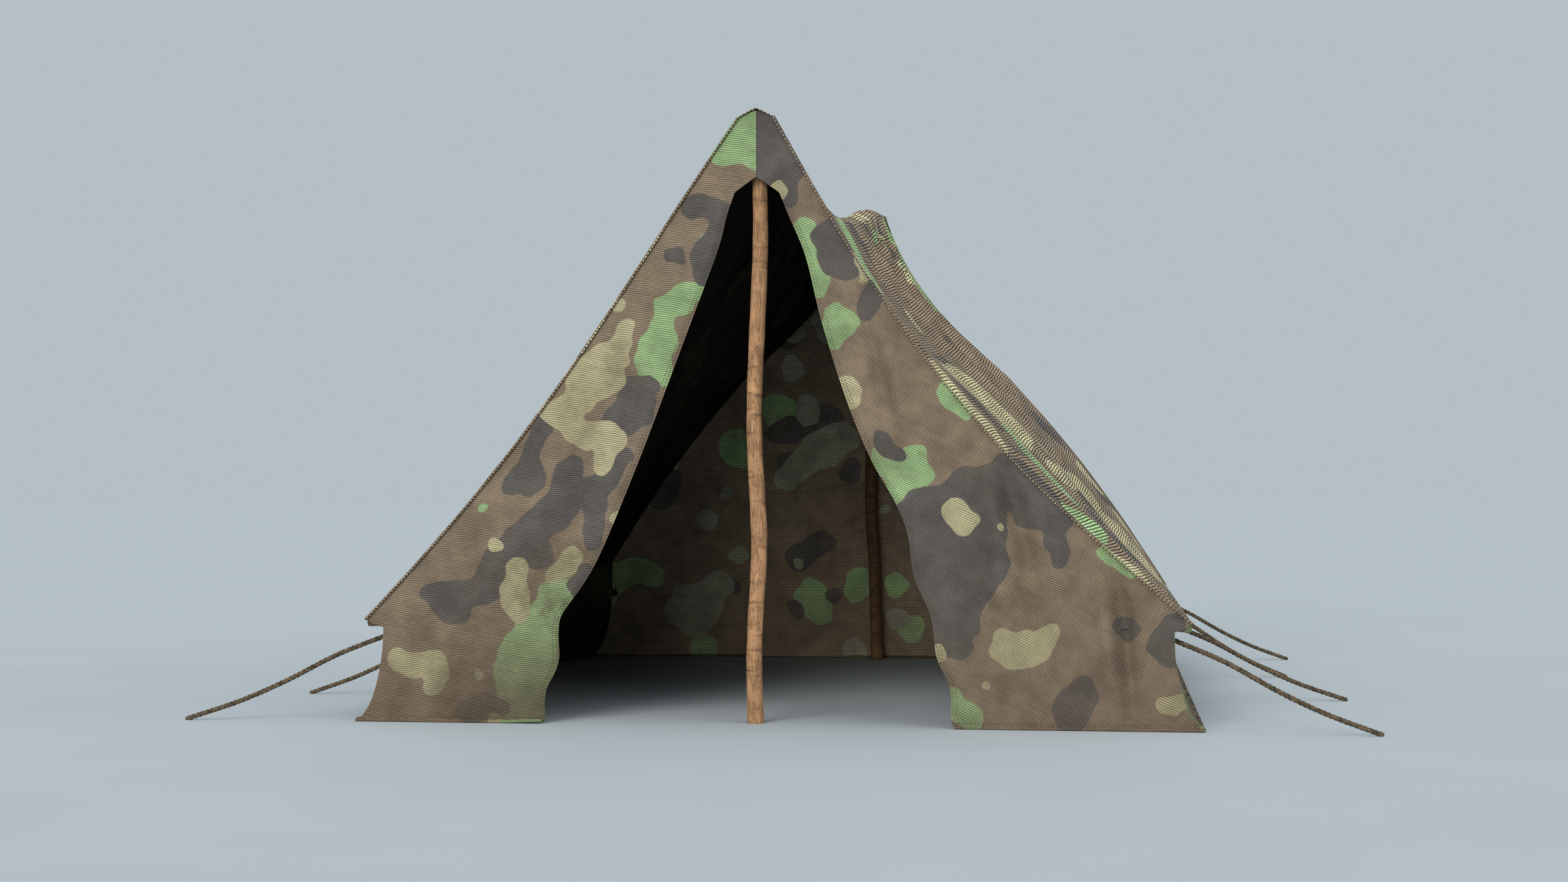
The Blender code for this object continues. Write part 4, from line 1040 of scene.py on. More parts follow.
def guy_route(side, number):
    """A rope's middle line, from its knot inside the wall to its foot on the ground, and its knot's centre."""
    start = eyelet_place(side, number)
    drift, reach = GUYS[side][number - 1]
    low = ROPE_RADIUS + ROPE_LIFT
    outer = [
        Vector((start.x + side * reach * out, start.y + drift * out, mix(low, start.z, up))) for out, up in GUY_ROUTE
    ]
    along = (outer[1] - outer[0]).normalized()
    knot = outer[0] - along * KNOT_INSET
    return smooth_line([knot + along * (KNOT_RADIUS + 0.001)] + outer, ROPE_STEP), knot, along


def cut_at_ground(mesh, clear=0.0003):
    for vertex in mesh.vertices:
        vertex.co.z = max(vertex.co.z, clear)


def fold_x(side, z):
    foot = side * (wall_x(0.0, 0.0) - FOLD_FROM_WALL[side])
    shoulder = RIDGE_X_FRONT + side * NOTCH_HALF
    return foot - (foot - shoulder) / (DOOR_TOP - NOTCH_DROP) * z


def fold_with_door(made, side):
    """Bakes a piece of the front's place into its mesh. It works out the door's fold line but doesn't bend the piece
    along it.
    """
    foot = Vector((fold_x(side, 0.0), FRONT_Y, 0.0))
    head = Vector((fold_x(side, 1.0), FRONT_Y, 1.0))
    line = (head - foot).normalized()
    inward = Vector((-side * line.z, 0.0, side * line.x))
    if inward.x * side > 0:
        inward = -inward
    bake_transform(made)


def gable_edge(side, t):
    """A function that gives a gable's outer edge at a height."""
    line = section(side, t)[::-1]

    def edge(z):
        if z >= EAVE_HEIGHT - 0.002:
            return float(np.interp(z, line[:, 1], line[:, 0])) - side * TOP_GAP
        if z >= EAVE_HEIGHT - EAVE_LIP:
            share = clamp((z - EAVE_HEIGHT + EAVE_LIP) / EAVE_LIP) ** 0.5
            return side * mix(wall_x(t, z), eave_half(t) - 0.004, share)
        return side * wall_x(t, z)

    return edge


def gable_heights(top, count, *others):
    """Heights of a gable's rows of points, with rows at each corner of its edge."""
    rows = set(np.linspace(GROUND_GAP, top, count).round(5))
    return sorted(rows | {EAVE_HEIGHT - 0.002, EAVE_HEIGHT - 0.008, EAVE_HEIGHT - EAVE_LIP, *others})


def front_outline(side):
    """Functions that give the front sheet's free edge and its outer edge at a height."""
    shoulder_x, shoulder_z = DOOR_EDGE[side][0]
    door = smooth_line([(x, 0.0, z) for x, z in DOOR_EDGE[side]], 0.012)
    door_z = np.array([p.z for p in door])[::-1]
    door_x = np.array([p.x for p in door])[::-1]
    def inner(z):
        if z >= DOOR_TOP:
            return RIDGE_X_FRONT + side * 0.0003
        if z > shoulder_z:
            return mix(shoulder_x, RIDGE_X_FRONT, (z - shoulder_z) / (DOOR_TOP - shoulder_z))
        return float(np.interp(z, door_z, door_x))

    return inner, gable_edge(side, 0.0)


def front_relief(side, x, z, inner_x, outer_x):
    """How far the front sheet stands out towards -Y."""
    from_door, from_edge = np.abs(x - inner_x), np.abs(outer_x - x)
    pinned = ease(0.0, 0.12, from_edge) * ease(0.0, 0.05, 2.0 - z)
    soft = folds(x, z, FRONT_FOLDS[side]) + 0.0035 * ripple(x, z, 11 + side, 0.4) * ease(1.9, 1.4, z)
    curl = -0.008 * np.exp(-((from_door / 0.012) ** 2)) * ease(1.75, 1.6, z)
    wave = 0.006 * np.exp(-((from_door / 0.05) ** 2)) * np.sin(z * 31 + side) * ease(0.55, 0.3, z)
    return soft * pinned + curl + wave


class TENT_OT_stage(bpy.types.Operator):
    """Floor, the room's even light, lamps and camera."""

    bl_idname = "tent.stage"
    bl_label = "Stage and camera"

    def execute(self, context):
        scene = context.scene
        studio = scene.tent_studio
        lens = bpy.data.cameras.new("camera")
        lens.lens = studio.lens
        lens.sensor_width = 36.0
        lens.sensor_fit = "HORIZONTAL"
        lens.clip_end = 200.0
        camera = link(bpy.data.objects.new("camera", lens))
        camera.matrix_world = (
            Matrix.Translation(CAMERA_PLACE)
            @ Matrix.Rotation(-CAMERA_YAW, 4, "Z")
            @ Matrix.Rotation(math.pi / 2 + CAMERA_PITCH, 4, "X")
            @ Matrix.Rotation(CAMERA_TILT, 4, "Z")
        )
        scene.camera = camera
        scene.view_settings.view_transform = "Standard"

        points = [(x, y, 0.0) for y in FLOOR_LINES for x in FLOOR_LINES]
        faces = [(4 * i + j, 4 * i + j + 1, 4 * i + j + 5, 4 * i + j + 4) for i in range(3) for j in range(3)]
        made, n, shader = new_material("painted_floor")
        mottle = n.band(n.noise(n.place(), 1.2, 3.0), 0.3, 0.7)
        n.feed(shader.inputs["Base Color"], n.blend(mottle, solid(studio.floor), tinted(studio.floor, 0.97)))
        shader.inputs["Roughness"].default_value = 0.85
        shader.inputs["Specular IOR Level"].default_value = 0.2
        finish_mesh("floor", points, faces, [made], angle=60)

        world = bpy.data.worlds.new("room")
        world.use_nodes = True
        background = world.node_tree.nodes["Background"]
        background.inputs["Color"].default_value = solid(studio.room)
        background.inputs["Strength"].default_value = studio.sky
        scene.world = world
        for name, place, softness, share in LAMPS:
            lamp = bpy.data.lights.new(name, "SUN")
            lamp.angle = math.radians(softness)
            lamp.energy = studio.key * share
            lamp.color = LAMP_COLOUR
            made = link(bpy.data.objects.new(name, lamp))
            made.location = place
            made.rotation_euler = (-Vector(place)).to_track_quat("-Z", "Y").to_euler()
        return {"FINISHED"}


class TENT_OT_guy_ropes(bpy.types.Operator):
    """Eight laid guy ropes, each with its stopper knot."""

    bl_idname = "tent.guy_ropes"
    bl_label = "Guy ropes and knots"

    def execute(self, context):
        cloth = context.scene.tent_cloth
        hemp = rope_material()
        for side in SIDES:
            for number in range(1, len(GUYS[side]) + 1):
                name = f"{SIDES[side]}_{number}"
                line, centre, along = guy_route(side, number)
                values = {"Radius": ROPE_RADIUS, "Lay": cloth.rope_lay, "Step": 0.004, "Material": hemp}
                line.append(line[-1] + (line[-1] - line[-2]).normalized() * ROPE_FOOT)
                rope = grown(f"rope_{name}", [line], strand_tree(), values)
                cut_at_ground(rope.data)
                rope.data.shade_smooth()
                belongs(rope, "rope", f"guy_rope_{name}")
                turn = along.to_track_quat("Z", "Y").to_matrix()
                loop = []
                for k in range(KNOT_STEPS):
                    a = 2 * math.pi * k / KNOT_STEPS
                    x, y = math.sin(a) + 2 * math.sin(2 * a), math.cos(a) - 2 * math.cos(2 * a)
                    loop.append(centre + turn @ (Vector((x, y, -1.3 * math.sin(3 * a))) * KNOT_SCALE))
                values = {"Radius": KNOT_STRAND, "Lay": KNOT_LAY, "Step": 0.003, "Material": hemp}
                knot = grown(f"knot_{name}", [loop], strand_tree(), values, closed=True)
                knot.data.shade_smooth()
                belongs(knot, "rope", f"guy_knot_{name}")
                length = sum((b - a).length for a, b in zip(line, line[1:]))
                tuple(line[0])
                [tuple(p) for p in line]
        return {"FINISHED"}


def roof_relief(side, y, t, v):
    """How far the roof stands out from its even surface, from its folds."""
    down = v * 2.0
    back = 1 - t
    angle = np.arctan2(v * 2.05, back * 3.0 + 1e-6)
    reach = np.hypot(v * 2.05, back * 3.0)
    fan = np.sin(angle * 23 + 1.2 * np.sin(angle * 7))
    fan = fan * ease(0.03, 0.3, reach) * ease(1.6, 0.6, reach) * ease(0.03, 0.2, angle)
    valley = -np.exp(-(((t - 0.055 - 0.012 * np.sin(v * 7)) / 0.03) ** 2)) * ease(0.1, 0.3, v) * ease(1.0, 0.85, v)
    crest = np.exp(-(((t - 0.2 - 0.04 * np.sin(v * 5 + 1)) / 0.07) ** 2)) * ease(0.15, 0.4, v) * ease(1.0, 0.75, v)
    dimple = np.exp(-(((t - 0.15 - 0.25 * (v - 0.3)) / 0.035) ** 2)) * ease(0.25, 0.45, v) * ease(0.95, 0.6, v)
    long_folds = np.sin(t * 34 + 2.2 * np.sin(v * 6 + side)) * ease(0.08, 0.3, t) * ease(1.0, 0.8, t)
    long_folds = long_folds * ease(0.1, 0.45, v) * ease(1.0, 0.8, v)
    slow = ripple(y, down, 21 + side, 0.6)
    fullness = ease(0.3, 0.6, t) * ease(1.0, 0.94, t) * np.exp(-(((v - 0.48) / 0.2) ** 2))
    pinned = ease(0.0, 0.03, t) * ease(0.0, 0.03, 1 - t) * ease(1.0, 0.93, v) * ease(0.0, 0.06, v)
    gathered = 0.017 * fan - 0.02 * dimple + 0.0055 * long_folds + 0.007 * slow
    pleats = 0.0
    for place, width, height, lean in ROOF_PLEATS:
        middle = place + lean * (v - 0.5) + 0.008 * np.sin(v * 9 + place * 60)
        pleats = pleats + height * np.exp(-(((t - middle) / width) ** 2))
    pleats = pleats * ease(0.12, 0.4, v) * ease(1.0, 0.8, v)
    gather = np.sin(2 * math.pi * (t * 12 + 1.5 * v + 0.3 * np.sin(t * 17))) * ease(0.5, 0.7, t) * ease(0.36, 0.1, v)
    return pinned * (gathered + 0.014 * valley + 0.02 * crest + 0.02 * fullness + pleats + 0.012 * gather)


def ridge_lift(t):
    """How far the cloth bunches up above the ridge line in front of the rear pole."""
    bunch = float(np.interp(t, BUNCH_PLACES, BUNCH_HEIGHTS))
    return bunch * (1 + 0.14 * math.sin(2 * math.pi * t * 12))


class TENT_OT_canopy(bpy.types.Operator):
    """The roof, as one sheet from eave to eave over the ridge."""

    bl_idname = "tent.canopy"
    bl_label = "Canopy"

    def execute(self, context):
        step = context.scene.tent_cloth.mesh_step
        dense = FRONT_Y + LENGTH * 0.22
        rows = [FRONT_Y - OVERLAP] + list(np.linspace(FRONT_Y + EDGE, dense, round(LENGTH * 0.22 / step / 0.9)))
        rows += list(np.linspace(dense, REAR_Y - EDGE, round(LENGTH * 0.78 / step / 1.52) + 1))[1:] + [REAR_Y + OVERLAP]
        shares = list(np.linspace(0.0, 1.0, round(2.1 / step / 1.36)))
        cap = list(np.linspace(-1, 1, 17))[1:-1]
        columns = [(LEFT, v) for v in shares[::-1]] + [(0, c) for c in cap] + [(RIGHT, v) for v in shares]
        y = np.array(rows)[:, None] * np.ones(len(columns))
        t = np.array([station(r) for r in rows])[:, None] * np.ones(len(columns))
        v = np.array([c[1] if c[0] else 0.0 for c in columns])[None, :] * np.ones((len(rows), 1))
        out = np.zeros_like(y)
        for side in SIDES:
            here = np.array([c[0] == side for c in columns])
            out[:, here] = roof_relief(side, y[:, here], t[:, here], v[:, here])
        points = np.zeros((len(rows), len(columns), 3))
        across = np.zeros((len(rows), len(columns)))
        for i, row in enumerate(rows):
            share = station(row)
            for j, (side, where) in enumerate(columns):
                if side:
                    p = slope_point(side, share, where, out[i, j])
                    points[i, j] = (p.x, row, p.y + ridge_lift(share) * ease(0.16, 0.0, where))
                    across[i, j] = side * (CAP_HALF + where * slope_length(side, share))
                else:
                    x = ridge_x(share) + where * CAP_HALF
                    points[i, j] = (x, row, ridge_z(share) + ridge_lift(share) - CAP_DROP * abs(where) ** CAP_CURVE)
                    across[i, j] = where * CAP_HALF
        uv = np.stack([y, across * 0.55], -1)
        chains = scattered_marks(5, (-1.6, 1.6), (-2.15, 2.15))
        for tint, spots in ROOF_MARKS.items():
            kept = [
                spot for spot in chains[tint]
                if spot[1] < -0.05 or (spot[0] > 1.1 and spot[1] > 1.4 and tint != "green")
            ]
            chains[tint] = kept + [(9.0, 9.0, 0.01)] + spots
        prints = marks_at(y, across, chains)
        # Painted light: the roof's copy of the canvas has its dyes lightened 1.42 times and stronger painted shade
        # between its ribs. The underside's copy is painted shade, with its dyes dimmed to 0.12.
        outside = canvas_material("roof_canvas_painted_light", 1.42, 0.9, 1.5, 0.25)
        finishes = [outside, canvas_material("under_roof_painted_shade", 0.12)]
        made = cloth_sheet("canopy", points, uv, prints, (0, 0, 1), finishes)
        belongs(made, "canvas", "roof_left", "roof_right", "ridge_cap")
        return {"FINISHED"}


class TENT_OT_fronts(bpy.types.Operator):
    """The two halves of the front gable, each from the roof's edge to its free door edge."""

    bl_idname = "tent.fronts"
    bl_label = "Front gable and doors"

    def execute(self, context):
        step = context.scene.tent_cloth.mesh_step * 0.8
        # The inside's copy of the canvas is painted shade, with its dyes dimmed to 0.4.
        finishes = [canvas_material("printed_canvas", 1.0), canvas_material("canvas_inside_painted_shade", 0.4)]
        for side, name in SIDES.items():
            inner, outer = front_outline(side)
            heights = gable_heights(1.992, round(2.0 / step), DOOR_TOP, DOOR_TOP - NOTCH_DROP)
            shares = np.linspace(0, 1, FRONT_COLUMNS)
            low, high = np.array([inner(z) for z in heights]), np.array([outer(z) for z in heights])
            high = np.where(np.abs(high - low) < 0.002, low + side * 0.002, high)
            x = low[:, None] + (high - low)[:, None] * shares[None, :]
            z = np.array(heights)[:, None] * np.ones(FRONT_COLUMNS)
            relief = front_relief(side, x, z, low[:, None], high[:, None])
            points = np.stack([x, FRONT_Y - relief, z], -1)
            lean = 0.16 if side == LEFT else 0.45
            uv = np.stack([x * math.cos(lean) - z * math.sin(lean), z * math.cos(lean) + x * math.sin(lean)], -1)
            prints = marks_at(x, z, FRONT_MARKS[side])
            if side == LEFT:
                prints["wear"] = 0.42 * ease(0.5, 0.3, z) * ease(0.45, 0.3, np.abs(x - low[:, None]))
            made = cloth_sheet(f"front_{name}", points, uv, prints, (0, -1, 0), finishes)
            fold_with_door(made, side)
            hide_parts(f"front_panel_{name}", f"door_flap_{name}")
        return {"FINISHED"}


class TENT_OT_walls(bpy.types.Operator):
    """The low flared side walls, with their holes for the eyelets."""

    bl_idname = "tent.walls"
    bl_label = "Side walls"

    def execute(self, context):
        # The inside's copy of the canvas is painted shade, with its dyes dimmed to 0.4.
        finishes = [canvas_material("printed_canvas", 1.0), canvas_material("canvas_inside_painted_shade", 0.4)]
        for side, name in SIDES.items():
            rows = np.linspace(FRONT_Y + END_GAP, REAR_Y - END_GAP, WALL_ROWS)
            y = rows[:, None] * np.ones(WALL_COLUMNS)
            t = np.clip((y - FRONT_Y - EDGE) / (LENGTH - 2 * EDGE), 0, 1)
            tops = []
            for row in rows:
                line = section(side, station(row), 120)
                reach = wall_x(station(row), WALL_DROP)
                tops.append(float(np.interp(reach, np.abs(line[:, 0]), line[:, 1])) - 0.0075)
            foot = HEM_HEIGHT * 0.6
            z = foot + (np.array(tops)[:, None] - foot) * np.linspace(0, 1, WALL_COLUMNS)[None, :]
            sway = 0.006 * ripple(y, z, 31 + side, 0.28)
            sway += 0.006 * np.sin(y * 17 + 2 * np.sin(y * 5)) * ease(0.3, 0.05, z)
            sway *= ease(0.0, 0.1, y - FRONT_Y) * ease(0.0, 0.1, REAR_Y - y) * ease(0.012, 0.09, z)
            for number in range(1, len(GUYS[side]) + 1):
                hole = eyelet_place(side, number)
                away = np.hypot(y - hole.y, z - hole.z)
                sway *= ease(0.03, 0.12, away)
                sway += 0.004 * np.exp(-((away / 0.06) ** 2)) * ease(0.024, 0.04, away)
                moved = np.interp(away, [0, HOLE_RADIUS, HOLE_REACH], [HOLE_RADIUS, HOLE_RADIUS, HOLE_REACH])
                push = np.where(away < HOLE_REACH, moved / np.maximum(away, 1e-6), 1.0)
                y = hole.y + (y - hole.y) * push
                z = hole.z + (z - hole.z) * push
            x = np.vectorize(wall_x)(t, z) + sway
            points = np.stack([side * x, y, z], -1)
            prints = marks_at(y, z, scattered_marks(41 + side, (-1.6, 1.6), (0.0, 0.4), 1.3))
            made = cloth_sheet(f"wall_{name}", points, np.stack([y, z], -1), prints, (side, 0, 0), finishes)
            clear_holes(made, side)
            belongs(made, "canvas", f"side_wall_{name}")
        return {"FINISHED"}


def clear_holes(made, side):
    """Takes out the cloth inside each eyelet's barrel."""
    work = bmesh.new()
    work.from_mesh(made.data)
    gone = []
    for number in range(1, len(GUYS[side]) + 1):
        hole = eyelet_place(side, number)
        for face in work.faces:
            middle = face.calc_center_median()
            if math.hypot(middle.y - hole.y, middle.z - hole.z) < HOLE_CUT:
                gone.append(face)
    bmesh.ops.delete(work, geom=gone, context="FACES")
    work.to_mesh(made.data)
    work.free()


class TENT_OT_rear(bpy.types.Operator):
    """The closed rear gable."""

    bl_idname = "tent.rear"
    bl_label = "Rear gable"

    def execute(self, context):
        # The inside of the rear gable gets painted light: a copy of the canvas with its dyes lightened 2.6 times.
        finishes = [canvas_material("printed_canvas", 1.0), canvas_material("rear_inside_painted_light", 2.6)]
        left, right = gable_edge(LEFT, 1.0), gable_edge(RIGHT, 1.0)
        heights = gable_heights(2.022, REAR_ROWS)
        low = np.array([left(z) for z in heights])
        high = np.array([right(z) for z in heights])
        shares = np.linspace(0, 1, REAR_COLUMNS)
        x = low[:, None] + (high - low)[:, None] * shares[None, :]
        z = np.array(heights)[:, None] * np.ones(REAR_COLUMNS)
        from_edge = np.minimum(x - low[:, None], high[:, None] - x)
        relief = (folds(x, z, REAR_FOLDS) + 0.006 * ripple(x, z, 51, 0.5)) * ease(0.0, 0.14, from_edge)
        points = np.stack([x, REAR_Y + relief, z], -1)
        chains = {tint: list(spots) for tint, spots in REAR_MARKS.items()}
        extra = scattered_marks(57, (-1.35, 1.35), (0.0, 2.0), 1.1)
        for tint, spots in extra.items():
            chains[tint] += [s for s in spots if not (-0.95 < s[0] < 0.25 and s[1] < 1.45)]
        prints = marks_at(x, z, chains)
        made = cloth_sheet("rear_gable", points, np.stack([x, z], -1), prints, (0, 1, 0), finishes)
        belongs(made, "canvas", "rear_wall")
        return {"FINISHED"}


def outline_ring(corners, radius=0.35, count=4):
    """A ring of points round a four-cornered section with eased corners."""
    ring = []
    size = len(corners)
    for i, corner in enumerate(corners):
        before, after = Vector(corners[i - 1]), Vector(corners[(i + 1) % size])
        corner = Vector(corner)
        a = corner.lerp(before, radius * min(1.0, (after - corner).length / max((before - corner).length, 1e-9)) * 0.5)
        b = corner.lerp(after, radius * min(1.0, (before - corner).length / max((after - corner).length, 1e-9)) * 0.5)
        for k in range(count):
            s = k / (count - 1)
            ring.append(a * (1 - s) ** 2 + corner * 2 * s * (1 - s) + b * s * s)
    return ring


def hem_rings(places, corners_of, radius=0.9):
    """Rings of points round a hem's section at each place along it."""
    return [[tuple(p) for p in outline_ring(corners_of(place), radius)] for place in places]


def gable_foot(y, low, high):
    """A function that gives the corners of a gable's foot hem, between two y values, at an x."""

    def corners(x):
        return [(x, y[0], low(x)), (x, y[1], low(x)), (x, y[1], high(x)), (x, y[0], high(x))]

    return corners


class TENT_OT_hems(bpy.types.Operator):
    """Folded eaves, wall hems and the hems along the foot of each gable."""

    bl_idname = "tent.hems"
    bl_label = "Eaves and hems"

    def execute(self, context):
        canvas = canvas_material("printed_canvas", 1.0)
        # The eave roll's copy of the canvas is painted shade under the eave, with its dyes dimmed to 0.55.
        under = canvas_material("eave_hem_painted_shade", 0.55)
        rows = np.linspace(FRONT_Y + END_GAP, REAR_Y - END_GAP, 150)
        for side, name in SIDES.items():
            chains = scattered_marks(61 + side, (-1.6, 1.6), (0.0, 1.6), 0.9)

            def prints_of(flat):
                return marks_at(flat[:, 1], np.abs(flat[:, 0]), chains)

            def eave_corners(y):
                t = station(y)
                wall, tip = wall_x(t, WALL_DROP) + 0.001, eave_half(t) - 0.003
                line = section(side, t, 120)
                order = np.argsort(np.abs(line[:, 0]))
                tops = np.interp((wall, tip), np.abs(line[order, 0]), line[order, 1]) - 0.0065
                sag = 0.0022 * math.sin(y * 23 + side) + 0.0015 * math.sin(y * 51)
                return [
                    (side * wall, y, tops[0]), (side * tip, y, tops[1]),
                    (side * (tip - 0.003), y, floor + sag), (side * wall, y, floor + 0.002 + sag * 0.4),
                ]

            floor = EAVE_HEIGHT - EAVE_LIP
            # The eave roll takes the painted-shade copy of the canvas.
            eave = roll(f"eave_{name}", hem_rings(rows, eave_corners, 0.7), prints_of, under)
            belongs(eave, "canvas", f"eave_hem_{name}")

            def wall_corners(y):
                foot = wall_x(station(y), 0.0) + 0.001 + 0.0012 * math.sin(y * 37) + 0.0008 * math.sin(y * 83)
                height = HEM_HEIGHT + 0.001 * math.sin(y * 29 + 1)
                back, front = side * (foot - HEM_WIDTH), side * foot
                return [(back, y, 0.0), (front, y, 0.0), (front, y, height), (back, y, height)]

            hem = roll(f"foot_hem_{name}", hem_rings(rows, wall_corners), prints_of, canvas)
            belongs(hem, "canvas", f"wall_hem_{name}")

            ends = (side * (wall_x(0, 0) - 0.001), front_outline(side)[0](0.01) + side * 0.004)

            def low(x):
                return 0.0045 * ease(0.16, 0.0, abs(x - ends[1])) if side == LEFT else 0.0

            def high(x):
                return low(x) + HEM_HEIGHT + 0.0008 * math.sin(x * 61)

            corners = gable_foot((FRONT_Y - HEM_OUT, FRONT_Y + HEM_IN), low, high)
            marks = FRONT_MARKS[side]
            rings = hem_rings(np.linspace(*ends, 90), corners)
            front = roll(f"front_foot_{name}", rings, lambda flat: marks_at(flat[:, 0], flat[:, 2], marks), canvas)
            fold_with_door(front, side)
            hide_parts(f"front_hem_{name}", f"door_hem_{name}")

        half = wall_x(1.0, HEM_HEIGHT) - CLOTH
        corners = gable_foot(
            (REAR_Y - HEM_IN, REAR_Y + HEM_OUT), lambda x: 0.0, lambda x: HEM_HEIGHT + 0.001 * math.sin(x * 41)
        )
        rings = hem_rings(np.linspace(-half, half, 120), corners)
        back = roll("rear_foot", rings, lambda flat: marks_at(flat[:, 0], flat[:, 2], REAR_MARKS), canvas)
        belongs(back, "tape", "rear_hem")
        return {"FINISHED"}


def welt_line(side, rear, out):
    """Points along a gable's edge on the roof's outer face."""
    t = 1.0 if rear else 0.0
    y = REAR_Y + OVERLAP * 0.4 if rear else FRONT_Y - OVERLAP * 0.4
    line = []
    for i in range(211):
        p = slope_point(side, t, i / 210, out)
        line.append(Vector((p.x, y, p.y)))
    return line


class TENT_OT_welts(bpy.types.Operator):
    """The raised double-piped seams along each gable's edge, and the tapes behind the door edges."""

    bl_idname = "tent.welts"
    bl_label = "Welts and tapes"

    def execute(self, context):
        canvas = canvas_material("printed_canvas", 1.0)
        tape = tape_material()
        for side in SIDES:
            for rear in (False, True):
                where = "rear" if rear else "front"
                t = 1.0 if rear else 0.0
                towards = -1 if rear else 1
                start = REAR_Y + OVERLAP if rear else FRONT_Y - OVERLAP
                shares = np.linspace(0, 1, WELT_STEPS + 1)
                grid = np.zeros((len(shares), len(WELT_PROFILE), 3))
                for i, v in enumerate(shares):
                    bump = 0.0006 * math.sin(v * 310) + 0.0008 * math.sin(v * 47)
                    for j, (depth, height) in enumerate(WELT_PROFILE):
                        p = slope_point(side, t, v, 0.0004 + height * 0.72 * (1 + bump * 120))
                        grid[i, j] = (p.x, start + towards * depth, p.y)
                lengths, widths = np.linspace(0, 2.1, len(shares)), np.arange(len(WELT_PROFILE)) * 0.003
                uv = np.stack(np.meshgrid(lengths, widths, indexing="ij"), -1)
                source = scattered_marks(71 + side, (-1.4, 1.4), (0.3, 2.0)) if rear else FRONT_MARKS[side]
                prints = marks_at(grid[..., 0], grid[..., 2], source)
                made = cloth_sheet(f"welt_{where}_{SIDES[side]}", grid, uv, prints, (side, 0, 1), [canvas], 0.0012)
                belongs(made, "tape", f"gable_binding_{where}_{SIDES[side]}")

            inner, _ = front_outline(side)
            grid, uv = [], []
            for z in np.linspace(0.03, 1.7, 180):
                edge, pull = inner(z), 1 if z < 1.6 else 0.3
                for d in TAPE_SPOTS:
                    behind = 0.0006 + 0.002 * math.exp(-((d / 0.012) ** 2)) * pull
                    grid.append((edge + side * (0.002 + d), FRONT_Y + CLOTH + behind, z))
                    uv.append((z, d))
            grid = np.array(grid).reshape(-1, len(TAPE_SPOTS), 3)
            uv = np.array(uv).reshape(-1, len(TAPE_SPOTS), 2)
            relief = front_relief(side, grid[..., 0], grid[..., 2], grid[:, :1, 0], grid[:, :1, 0] + side * 2.0)
            grid[..., 1] += 0.002 - relief
            made = cloth_sheet(f"door_tape_{SIDES[side]}", grid, uv, {}, (0, 1, 0), [tape], 0.002)
            fold_with_door(made, side)
            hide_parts(f"door_binding_{SIDES[side]}")

        low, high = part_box("front_seam_tape")
        xs, zs = np.linspace(low.x, high.x, 8), np.linspace(low.z, high.z, 50)
        z, x = np.meshgrid(zs, xs, indexing="ij")
        grid = np.stack([x, np.full_like(x, high.y) + 0.0004 * np.sin(z * 200), z], -1)
        made = cloth_sheet("peak_tape", grid, np.stack([z, x], -1), {}, (0, 1, 0), [tape], 0.002)
        belongs(made, "tape", "front_seam_tape")
        return {"FINISHED"}


class TENT_OT_stitches(bpy.types.Operator):
    """Rows of stitches along the seams, welts, hems and door edges."""

    bl_idname = "tent.stitches"
    bl_label = "Stitches"

    def execute(self, context):
        cloth = context.scene.tent_cloth
        values = {
            "Spacing": cloth.stitch_spacing,
            "Length": cloth.stitch_length,
            "Thickness": cloth.stitch_thickness,
            "Material": thread_material(),
        }
        fixed = []
        for side in SIDES:
            for rear in (False, True):
                start, towards = (REAR_Y + OVERLAP, -1) if rear else (FRONT_Y - OVERLAP, 1)
                for depth in (0.0103, 0.0235):
                    out = 0.0028 if depth < 0.02 else 0.0006
                    path = welt_line(side, rear, out)
                    fixed.append([Vector((p.x, start + towards * depth, p.z)) for p in path[1:]])
            rows = np.linspace(FRONT_Y + 0.01, REAR_Y - 0.01, 160)
            for v in (0.972, 0.985):
                path = []
                for y in rows:
                    p = slope_point(side, station(y), v, 0.0006)
                    path.append(Vector((p.x, y, p.y)))
                fixed.append(path)
            fixed.append([Vector((side * (wall_x(station(y), 0.02) + 0.0006), y, 0.02)) for y in rows])
        made = grown("seam_stitches", fixed, stitch_tree(), values)
        made.data.shade_smooth()
        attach(made, "tent")
        for side in SIDES:
            inner, outer = front_outline(side)
            heights = np.linspace(0.05, 1.7, 200)
            edge = []
            for inset in (0.007, 0.019):
                x = np.array([inner(z) for z in heights]) + side * inset
                door = np.array([inner(z) for z in heights])
                relief = front_relief(side, x, heights, door, door + side * 2.0)
                edge.append([Vector((a, FRONT_Y - r - 0.0004, z)) for a, r, z in zip(x, relief, heights)])
            xs = np.linspace(inner(0.02) + side * 0.01, outer(0.02) - side * 0.01, 100)
            low, high = np.full(100, inner(0.02)), np.full(100, outer(0.02))
            relief = front_relief(side, xs, np.full(100, 0.02), low, high)
            edge.append([Vector((x, FRONT_Y - r - 0.0004, 0.02)) for x, r in zip(xs, relief)])
            made = grown(f"door_stitches_{SIDES[side]}", edge, stitch_tree(), values)
            made.data.shade_smooth()
            fold_with_door(made, side)
        return {"FINISHED"}


